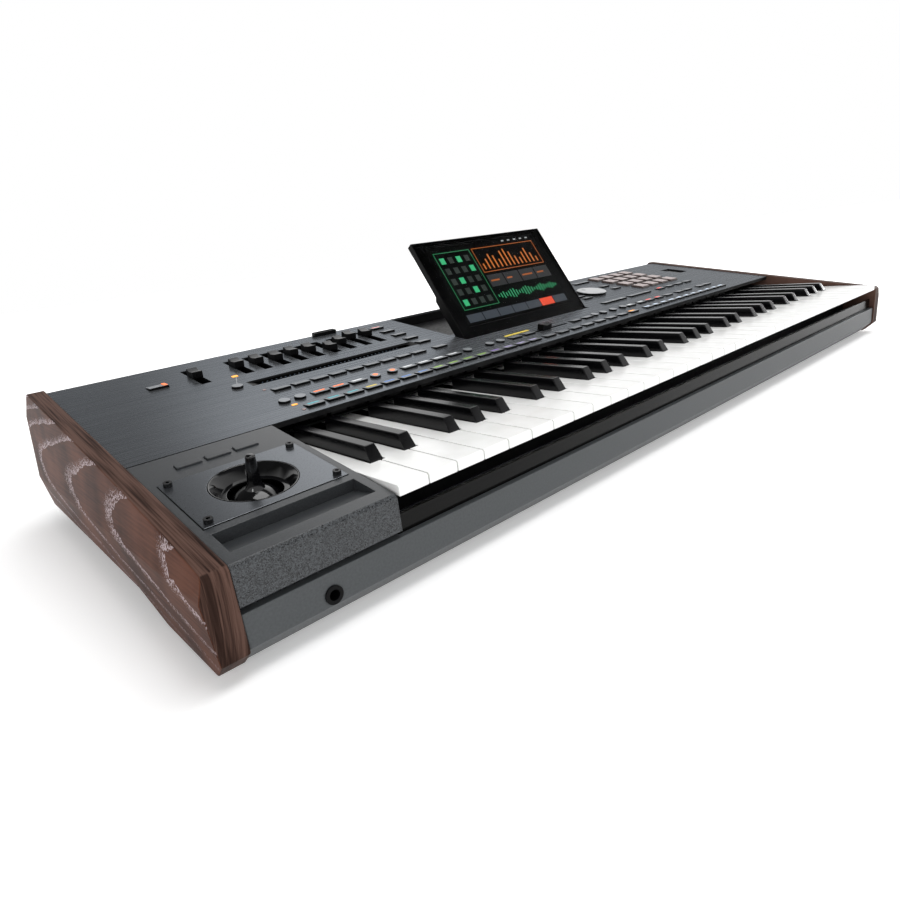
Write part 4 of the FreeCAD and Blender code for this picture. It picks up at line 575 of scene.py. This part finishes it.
# The top panel is one folded sheet of brushed aluminium, dyed dark grey, pierced for every
# control. Two moulded clips for a music rest hook over its rear edge.
# Brushed and dyed aluminium: hair lines along the instrument, drawn a millimetre wide so that they show,
# vary its tone and its gloss. The dye keeps it dark at a glancing angle, where bare metal turns white.
brushed, tree, shader, where = surface("brushed_anodised")
hair_width = 0.9 * mm
dyed_edge = linear("A6A8AA")
hair_way = node(tree, "ShaderNodeMapping", {"Vector": where, "Scale": (0.008, 1.0, 1.0)})
hair = node(tree, "ShaderNodeTexNoise", {"Vector": hair_way.outputs[0], "Scale": 1 / hair_width,
                                         "Detail": 3.0})
spread = node(tree, "ShaderNodeMapRange", {"Value": hair.outputs["Fac"], "From Min": 0.3, "From Max": 0.7})
tone = node(tree, "ShaderNodeMix", {0: spread.outputs[0], 6: linear("787B7F"), 7: linear("8B8E92")},
            data_type="RGBA")
sheen = node(tree, "ShaderNodeMapRange", {"Value": spread.outputs[0], "To Min": 0.25, "To Max": 0.29})
tree.links.new(tone.outputs[2], shader.inputs["Base Color"])
tree.links.new(sheen.outputs[0], shader.inputs["Roughness"])
shader.inputs["Metallic"].default_value = 0.85
shader.inputs["Specular IOR Level"].default_value = 0.0
shader.inputs["Specular Tint"].default_value = dyed_edge

# Faces of the sheet that do not look straight up the panel, its folded lip and the walls of its holes, take the
# dipped black: painted shade.
settle(softened("top_panel", 0.15 * mm), "panel_sheet", "brushed_panel", [dipped_black_and_shade, brushed], "top_panel",
       facing=panel_up, share=0.97)
settle(softened("music_rest_clips", 0.8 * mm), "rest_clips", "black_plastic", [black_plastic_and_shade], "music_rest_clips")
settle(softened("display_windows", 0.2 * mm), "windows", "gloss_black", [lacquer], "display_windows")


# Wedge and round buttons: moulded caps in the panel's grey on black stems, their sides black as well, which
# paints the shade of the gap round each cap. Some have a coloured window behind the finger edge that is lit from
# below, and small lamps stand beside others.
# Satin metallic lacquer on plastic, matched to the panel: a fine mould texture of half a millimetre.
cap = grained("grey_lacquer", "8D9094", "999CA0", 0.6 * mm, (0.3, 0.4), metallic=0.4, specular_tint=dyed_edge)
# Faces of the caps that do not look up the panel take the black: painted shade of the gap round each cap.
settle(softened("front_row_buttons", 0.25 * mm), "front_caps", "grey_button", [black_plastic_and_shade, cap],
       "front_row_buttons", facing=panel_up)
settle(softened("panel_buttons", 0.25 * mm), "panel_caps", "grey_button", [black_plastic_and_shade, cap], "panel_buttons",
       facing=panel_up)
settle(softened("round_buttons", 0.25 * mm, 1.0), "round_caps", "grey_button", [black_plastic_and_shade, cap], "round_buttons",
       facing=panel_up)


def lit(name, code, strength, unlit=None):
    """Light behind a milky window, broken up by its fine grain; unlit is the window's own colour."""
    material, tree, shader, where = surface(name)
    grain = node(tree, "ShaderNodeTexNoise", {"Vector": where, "Scale": 1 / (1.5 * mm), "Detail": 1.0})
    glow = node(tree, "ShaderNodeMapRange", {"Value": grain.outputs["Fac"], "To Min": 0.8 * strength,
                                             "To Max": 1.2 * strength})
    shader.inputs["Base Color"].default_value = linear(unlit or code)
    shader.inputs["Emission Color"].default_value = linear(code)
    shader.inputs["Roughness"].default_value = 0.4
    tree.links.new(glow.outputs[0], shader.inputs["Emission Strength"])
    return material


def plates(name, material, slot, body, place, rows, round_corner=0.0):
    """Thin plates in that place's frame, each (x, u, w, width, depth, thickness, lean)."""
    form = bmesh.new()
    for x, u, w, width, depth, thick, lean in rows:
        spot = place @ Matrix.Translation((x, u, w)) @ Matrix.Rotation(lean, 4, "X")
        made = bmesh.ops.create_cube(form, size=1, matrix=spot @ Matrix.Diagonal((width, depth, thick, 1)))
        if round_corner:
            up = spot.to_3x3() @ Vector((0, 0, 1))
            upright = [e for e in form.edges if set(e.verts) <= set(made["verts"])
                       and abs((e.verts[0].co - e.verts[1].co).normalized().dot(up)) > 0.9]
            bmesh.ops.bevel(form, geom=upright, offset=round_corner, offset_type="OFFSET", affect="EDGES",
                            segments=2, profile=0.5, material=-1)
    settle(form, name, slot, [material], body=body)


# Lit windows and lamps: dull blue to lilac along the front row, brighter amber, orange and red elsewhere.
lights = {"cyan": lit("cyan_window", "3E9FA8", 0.3), "yellow": lit("yellow_window", "C9B13A", 0.4),
          "blue": lit("blue_window", "4C78B8", 0.3), "green": lit("green_window", "8FB84A", 0.3),
          "purple": lit("purple_window", "8A6CB4", 0.3), "lilac": lit("lilac_window", "A79CC4", 0.3),
          "amber": lit("amber_window", "FFA63C", 0.9), "ice": lit("ice_window", "C3D2E4", 0.5),
          "orange": lit("orange_window", "F0702E", 0.8), "white": lit("white_window", "DADCDD", 0.3),
          "red": lit("red_window", "E8402E", 0.8), "rose": lit("rose_window", "EFA39B", 0.7),
          "dim": lit("dim_lens", "8C7573", 0.05), "print": lit("pale_print", "9EA0A2", 0.0)}
front_boxes = islands("front_row_buttons", panel)
wedge_boxes = islands("panel_buttons", panel)
round_boxes = islands("round_buttons", panel)
front_colours = (["cyan"] * 3 + ["yellow"] + ["blue"] * 3 + ["green"] * 4 + ["purple"] + ["lilac"] * 3
                 + [None] * 7 + ["amber"] + ["ice"] * 11)
cap_depth = front_boxes[0][1].y - front_boxes[0][0].y
cap_fall = 1.5 * mm
cap_lean = -math.atan2(cap_fall, cap_depth)
window_corner = 0.4 * mm


def cap_window(box):
    """The window on a wedge cap: two thirds of its width, on the rear half of its sloping top."""
    low, high = box
    back = 0.68 * cap_depth
    return ((low.x + high.x) / 2, low.y + back, high.z - math.tan(-cap_lean) * back,
            0.66 * (high.x - low.x), 0.36 * cap_depth, 0.3 * mm, cap_lean)


def nearest(boxes, x, u):
    """The box whose middle lies nearest to a place on the panel, given in millimetres."""
    aim = Vector((x * mm, u * mm))
    return min(boxes, key=lambda box: (((box[0] + box[1]) / 2).to_2d() - aim).length)


for colour in sorted(set(front_colours) - {None}):
    rows = [cap_window(box) for box, own in zip(front_boxes, front_colours) if own == colour]
    plates("front_windows_" + colour, lights[colour], "grey_button", "front_row_buttons", panel, rows,
           window_corner)

# The lit caps above the front row, by their places on the panel in millimetres.
second_row = 35.9
third_row = 67.8
column_top = 177.8
lit_caps = {"orange": [(x, second_row) for x in (-310.1, -291.1)],
            "red": [(197.4, second_row), (219.8, second_row), (278.4, third_row)],
            "white": [(x, second_row) for x in (-272.0, -214.8, -195.7, -176.6, -157.6, 152.4, 177.8)],
            "rose": [(-146.6, column_top)]}
for colour, spots in lit_caps.items():
    rows = [cap_window(nearest(wedge_boxes, *spot)) for spot in spots]
    plates("panel_windows_" + colour, lights[colour], "grey_button", "panel_buttons", panel, rows,
           window_corner)
round_window = 5 * mm
rows = []
for x in (-252.9, -233.9):
    low, high = nearest(round_boxes, x, second_row)
    rows.append(((low.x + high.x) / 2, (low.y + high.y) / 2, high.z, round_window, round_window, 0.2 * mm,
                 0.0))
plates("round_windows", lights["orange"], "grey_button", "round_buttons", panel, rows, 2.3 * mm)
power_lean = -math.atan2(1.0, 11.0)
low, high = nearest(wedge_boxes, -403.6, 148.0)
plates("power_lamp", lights["orange"], "grey_button", "panel_buttons", panel,
       [(high.x - 2.2 * mm, (low.y + high.y) / 2, high.z - 0.45 * mm, 3.2 * mm, 9 * mm, 0.3 * mm,
         power_lean)], 0.6 * mm)


def lamps(*places):
    """Plates for lamps in the panel, a little proud of it, each (x, u, width, depth) in millimetres."""
    return [(x * mm, u * mm, 0.1 * mm, width * mm, depth * mm, 0.5 * mm, 0.0)
            for x, u, width, depth in places]


# Small lamps in the panel, and the pale printed line that joins one of them to its button.
plates("amber_lamps", lights["amber"], "grey_button", "chassis", panel,
       lamps((-342, 128.5, 5.5, 4.2), (-341, 24.7, 5.0, 2.6)), 0.9 * mm)
plates("dim_lamps", lights["dim"], "grey_button", "chassis", panel,
       lamps((-341, 74.7, 3.0, 3.0), (-341, 10.3, 3.0, 3.0)), 0.9 * mm)
lamp_end = Vector((-342, 126))
button_end = Vector((-352.5, 101.5))
link = lamp_end - button_end
half_way = (lamp_end + button_end) / 2 * mm
link_place = panel @ Matrix.Translation((*half_way, 0)) @ Matrix.Rotation(-math.atan2(link.x, link.y), 4, "Z")
plates("lamp_link", lights["print"], "grey_button", "chassis", link_place,
       [(0, 0, 0.05 * mm, 0.6 * mm, link.length * mm, 0.1 * mm, 0.0)])

# Blue dots behind the strip window: weak light in a nearly black ground.
strip_low, strip_high = max(islands("display_windows", panel), key=lambda box: box[1].x - box[0].x)
strip_line = strip_low.y + 0.6 * (strip_high.y - strip_low.y)
blue_dots = lit("blue_dots", "4F7396", 0.2, "101418")
first_dot = 8
dot_pitch = 4.6
dots = 34
plates("strip_lamps", blue_dots, "gloss_black", "chassis", panel,
       [(strip_low.x + (first_dot + dot_pitch * i) * mm, strip_line, strip_high.z, 1.2 * mm, 0.8 * mm,
         0.3 * mm, 0.0) for i in range(dots)])
plates("yellow_lamps", lights["yellow"], "grey_button", "chassis", panel,
       lamps(*((x, 46.6, 12.0, 3.4) for x in (-66, -53, -40))), 0.5 * mm)


# Slider caps: moulded black blocks with a saddle for the finger, each pushed on a blade that runs in
# a dark well under the panel.
# Soft grey on the saddle of the black plastic, in grains of a millimetre.
grey_saddle = grained("grey_saddle_black_plastic", "2E2F31", "434446", 1.0 * mm, (0.3, 0.42), specular_ior_level=0.25)
sliders = ["master_slider", "crossfader"] + ["slider_%d" % i for i in range(1, 10)]
for slider in sliders:
    top = black_plastic_and_shade if slider == "crossfader" else grey_saddle
    settle(softened(slider, 0.4 * mm), slider + "_cap", "black_plastic", [black_plastic_and_shade, top], slider,
           facing=panel_up)
dress(black_plastic_and_shade, "slider_frames")


# The data wheel is a pale turned disc with a finger dimple, black at its rim and underside, which is painted
# shade; the sixteen pads are silicone, pale on top and brown at the sides.
# Satin silver plastic: fine turned rings, about a millimetre apart, round the wheel's own centre. The
# pattern has three of them in the length that sets its scale.
silver, tree, shader, where = surface("turned_silver_plastic")
three_rings = 3 * mm
centred = node(tree, "ShaderNodeMapping", {"Vector": where, "Location": tuple(-c for c in wheel_at)})
rings = node(tree, "ShaderNodeTexWave", {"Vector": centred.outputs[0], "Scale": 1 / three_rings,
                                         "Distortion": 0.6}, wave_type="RINGS", rings_direction="SPHERICAL")
tone = node(tree, "ShaderNodeMix", {0: rings.outputs["Fac"], 6: linear("9C9EA0"), 7: linear("B2B4B6")},
            data_type="RGBA")
sheen = node(tree, "ShaderNodeMapRange", {"Value": rings.outputs["Fac"], "To Min": 0.28, "To Max": 0.36})
tree.links.new(tone.outputs[2], shader.inputs["Base Color"])
tree.links.new(sheen.outputs[0], shader.inputs["Roughness"])
wheel_low, wheel_high = islands("data_wheel", panel)[0]
wheel_x, wheel_u, _ = (wheel_low + wheel_high) / 2
wheel_radius = (wheel_high.x - wheel_low.x) / 2
disc = 3.2 * mm
bevel = 0.8 * mm
shaft = 3.0 * mm
top_steps = 48
top_rings = [(wheel_radius - bevel) * (1 - i / top_steps) for i in range(top_steps + 1)]
wheel = turned([(0, wheel_low.z), (shaft, wheel_low.z), (shaft, wheel_high.z - disc),
                (wheel_radius, wheel_high.z - disc), (wheel_radius, wheel_high.z - bevel)]
               + [(radius, wheel_high.z) for radius in top_rings], wheel_x, wheel_u)
dimple = panel @ Vector((wheel_x - 5.75 * mm, wheel_u + 10 * mm, wheel_high.z))
dimple_radius = 4.2 * mm
dimple_floor = 2.5 * mm
dimple_depth = 1.2 * mm
for vert in wheel.verts:
    away = vert.co - dimple
    if abs(away.dot(panel_up)) < 0.1 * mm:
        sunk = (dimple_radius - away.length) / (dimple_radius - dimple_floor)
        vert.co -= panel_up * dimple_depth * min(max(sunk, 0), 1)
# The wheel's rim and underside take the black plastic: painted shade, a dark band under the pale disc.
settle(wheel, "wheel", "wheel_plastic", [black_plastic_and_shade, silver], "data_wheel", facing=panel_up, share=0.3)

# Silicone: matt with a soft bloom, pale and rosy on top, brown at the sides.
pad_top = grained("pale_silicone", "9A8D8C", "B4A7A5", 5 * mm, (0.4, 0.55))
pad_side = grained("brown_silicone", "352824", "463732", 3 * mm, (0.5, 0.65))
settle(softened("number_pads", 0.5 * mm), "pads", "pad_rubber", [pad_side, pad_top], "number_pads",
       facing=panel_up, share=0.8)


# The folding screen: a black shell on two hinge pins, a display cell in it and one sheet of cover
# glass. It folds into a bay with a moulded tray, whose floor carries a plate of the panel's metal.
dress(dipped_black_and_shade, "screen_deck")
deck_low, deck_high = islands("screen_deck", panel)[0]
deck_wall = 1.2 * mm
bay_floor = deck_low.z + deck_wall
floor_plate = 60 * mm
plates("bay_plate", brushed, "brushed_panel", "chassis", panel,
       [((deck_low.x + deck_high.x) / 2, deck_low.y + 2 * deck_wall + floor_plate / 2, bay_floor + 0.2 * mm,
         deck_high.x - deck_low.x - 4 * deck_wall, floor_plate, 0.6 * mm, 0.0)])
# Two thin black strips on the bay floor stand for slits; their black is painted shade.
slit_back = 40 * mm
slit_inset = 12 * mm
slit_length = 20 * mm
plates("bay_slit_shade", dipped_black_and_shade, "black_plastic", "chassis", panel,
       [(side * (deck_high.x - slit_inset), deck_low.y + slit_back, bay_floor + 0.5 * mm, slit_length,
         1.6 * mm, 0.2 * mm, 0.0) for side in (-1, 1)])
hinge = Vector(joints["screen_fold"]["pos_m"])
screen_angle = tilt + math.radians(-joints["screen_fold"]["range_deg"][0])
screen = Matrix.Translation(hinge) @ Matrix.Rotation(screen_angle, 4, "X")

# Cover glass: clear, with a coating that takes most of the reflection away and faint smudges.
glass, tree, shader, where = surface("coated_glass")
smudge_size = 30 * mm
smudge = node(tree, "ShaderNodeTexNoise", {"Vector": where, "Scale": 1 / smudge_size, "Detail": 4.0})
haze = node(tree, "ShaderNodeMapRange", {"Value": smudge.outputs["Fac"], "To Min": 0.0, "To Max": 0.04})
tree.links.new(haze.outputs[0], shader.inputs["Roughness"])
shader.inputs["Base Color"].default_value = linear("F8F9F9")
shader.inputs["Transmission Weight"].default_value = 1.0
shader.inputs["Specular IOR Level"].default_value = 0.1
shader.inputs["IOR"].default_value = 1.06
dress(glass, "screen_glass")

# Display black: the unlit cell and the shell's face around it, nearly without a sheen.
unlit_cell = grained("display_black", "020203", "050506", 20 * mm, (0.3, 0.4), specular_ior_level=0.05)
settle(softened("screen_shell", 0.6 * mm), "shell", "black_plastic", [black_plastic_and_shade, unlit_cell], "screen_shell",
       facing=screen.to_3x3() @ Vector((0, 0, 1)), share=0.95)
cell_low, cell_high = islands("screen_display", screen)[0]
skin = 0.3 * mm
middle = (cell_low + cell_high) / 2
plates("display_cell", unlit_cell, "lcd", "screen", screen,
       [(middle.x, middle.y, middle.z - skin / 2, cell_high.x - cell_low.x, cell_high.y - cell_low.y,
         cell_high.z - cell_low.z - skin, 0.0)])
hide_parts("screen_display")


# The picture on the display: a page of framed fields, bars and pads, each a thin lit plate on the cell.
# Its places are in millimetres from the cell's lower left corner.
def fields(name, code, strength, rects):
    """Lit plates of one colour on the display, each (left, bottom, right, top) in millimetres."""
    rows = []
    for left, bottom, right, top in rects:
        rows.append((cell_low.x + (left + right) / 2 * mm, cell_low.y + (bottom + top) / 2 * mm,
                     cell_high.z - 0.6 * skin, (right - left) * mm, (top - bottom) * mm, 0.5 * skin, 0.0))
    plates(name, lit(name + "_light", code, strength, "060607"), "lcd", "screen", screen, rows)


def outline(left, bottom, right, top, line=0.7):
    """The four sides of a frame."""
    return [(left, bottom, right, bottom + line), (left, top - line, right, top),
            (left, bottom + line, left + line, top - line), (right - line, bottom + line, right, top - line)]


def step(i, j):
    """One square of the step grid."""
    return (11 + 12.6 * i, 25 + 14 * j, 18 + 12.6 * i, 33 + 14 * j)


def tab(i):
    """One tab of the row along the lower edge."""
    return (4 + 24.7 * i, 4, 27.6 + 24.7 * i, 14)


played = {(0, 0), (1, 2), (2, 1), (3, 3), (0, 4), (2, 4)}
fields("step_frame", "1F9A5C", 0.7, outline(6, 20, 62, 96))
fields("steps_on", "37D68A", 0.7, [step(i, j) for i, j in sorted(played)])
fields("steps_off", "0C2418", 0.6, [step(i, j) for i in range(4) for j in range(5) if (i, j) not in played])
bar_heights = [8, 14, 20, 17, 11, 22, 24, 19, 12, 9, 16, 21, 13, 7]
bar_pitch = 7.2
fields("meter_frame", "D8701E", 0.7, outline(66, 62, 174, 96))
fields("meters", "E97F22", 0.75, [(71 + bar_pitch * i, 66, 73 + bar_pitch * i, 66 + tall)
                                  for i, tall in enumerate(bar_heights)])
mark_widths = (14, 9, 18, 12)
fader_pitch = 27.4
fields("fader_fields", "14171A", 0.7, [(66 + fader_pitch * i, 42, 91.8 + fader_pitch * i, 58)
                                       for i in range(4)])
fields("fader_marks", "D8701E", 0.6, [(69 + fader_pitch * i, 49, 69 + fader_pitch * i + wide, 51)
                                      for i, wide in enumerate(mark_widths)])
wave_heights = [3, 6, 9, 5, 8, 11, 12, 7, 4, 6, 10, 12, 9, 6, 3, 5, 8, 11, 7, 4, 6, 9, 5, 3]
wave_pitch = 4.5
wave_middle = 29
fields("wave_form", "2FB877", 0.7, [(67 + wave_pitch * i, wave_middle - tall / 2, 68.6 + wave_pitch * i,
                                     wave_middle + tall / 2) for i, tall in enumerate(wave_heights)])
fields("status_marks", "C9CDD0", 0.7, [(122 + 11 * i, 100.4, 126 + 11 * i, 102) for i in range(5)])
fields("page_tabs", "333B45", 0.8, [tab(i) for i in (0, 1, 2, 3, 4, 6)])
fields("page_tab_on", "F2481E", 0.9, [tab(5)])


# The box of the solids and the box of the dressed instrument are kept side by side, in metres.
size = {"solid": [list(corner) for corner in solid_box], "dressed": [list(corner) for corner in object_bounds()]}
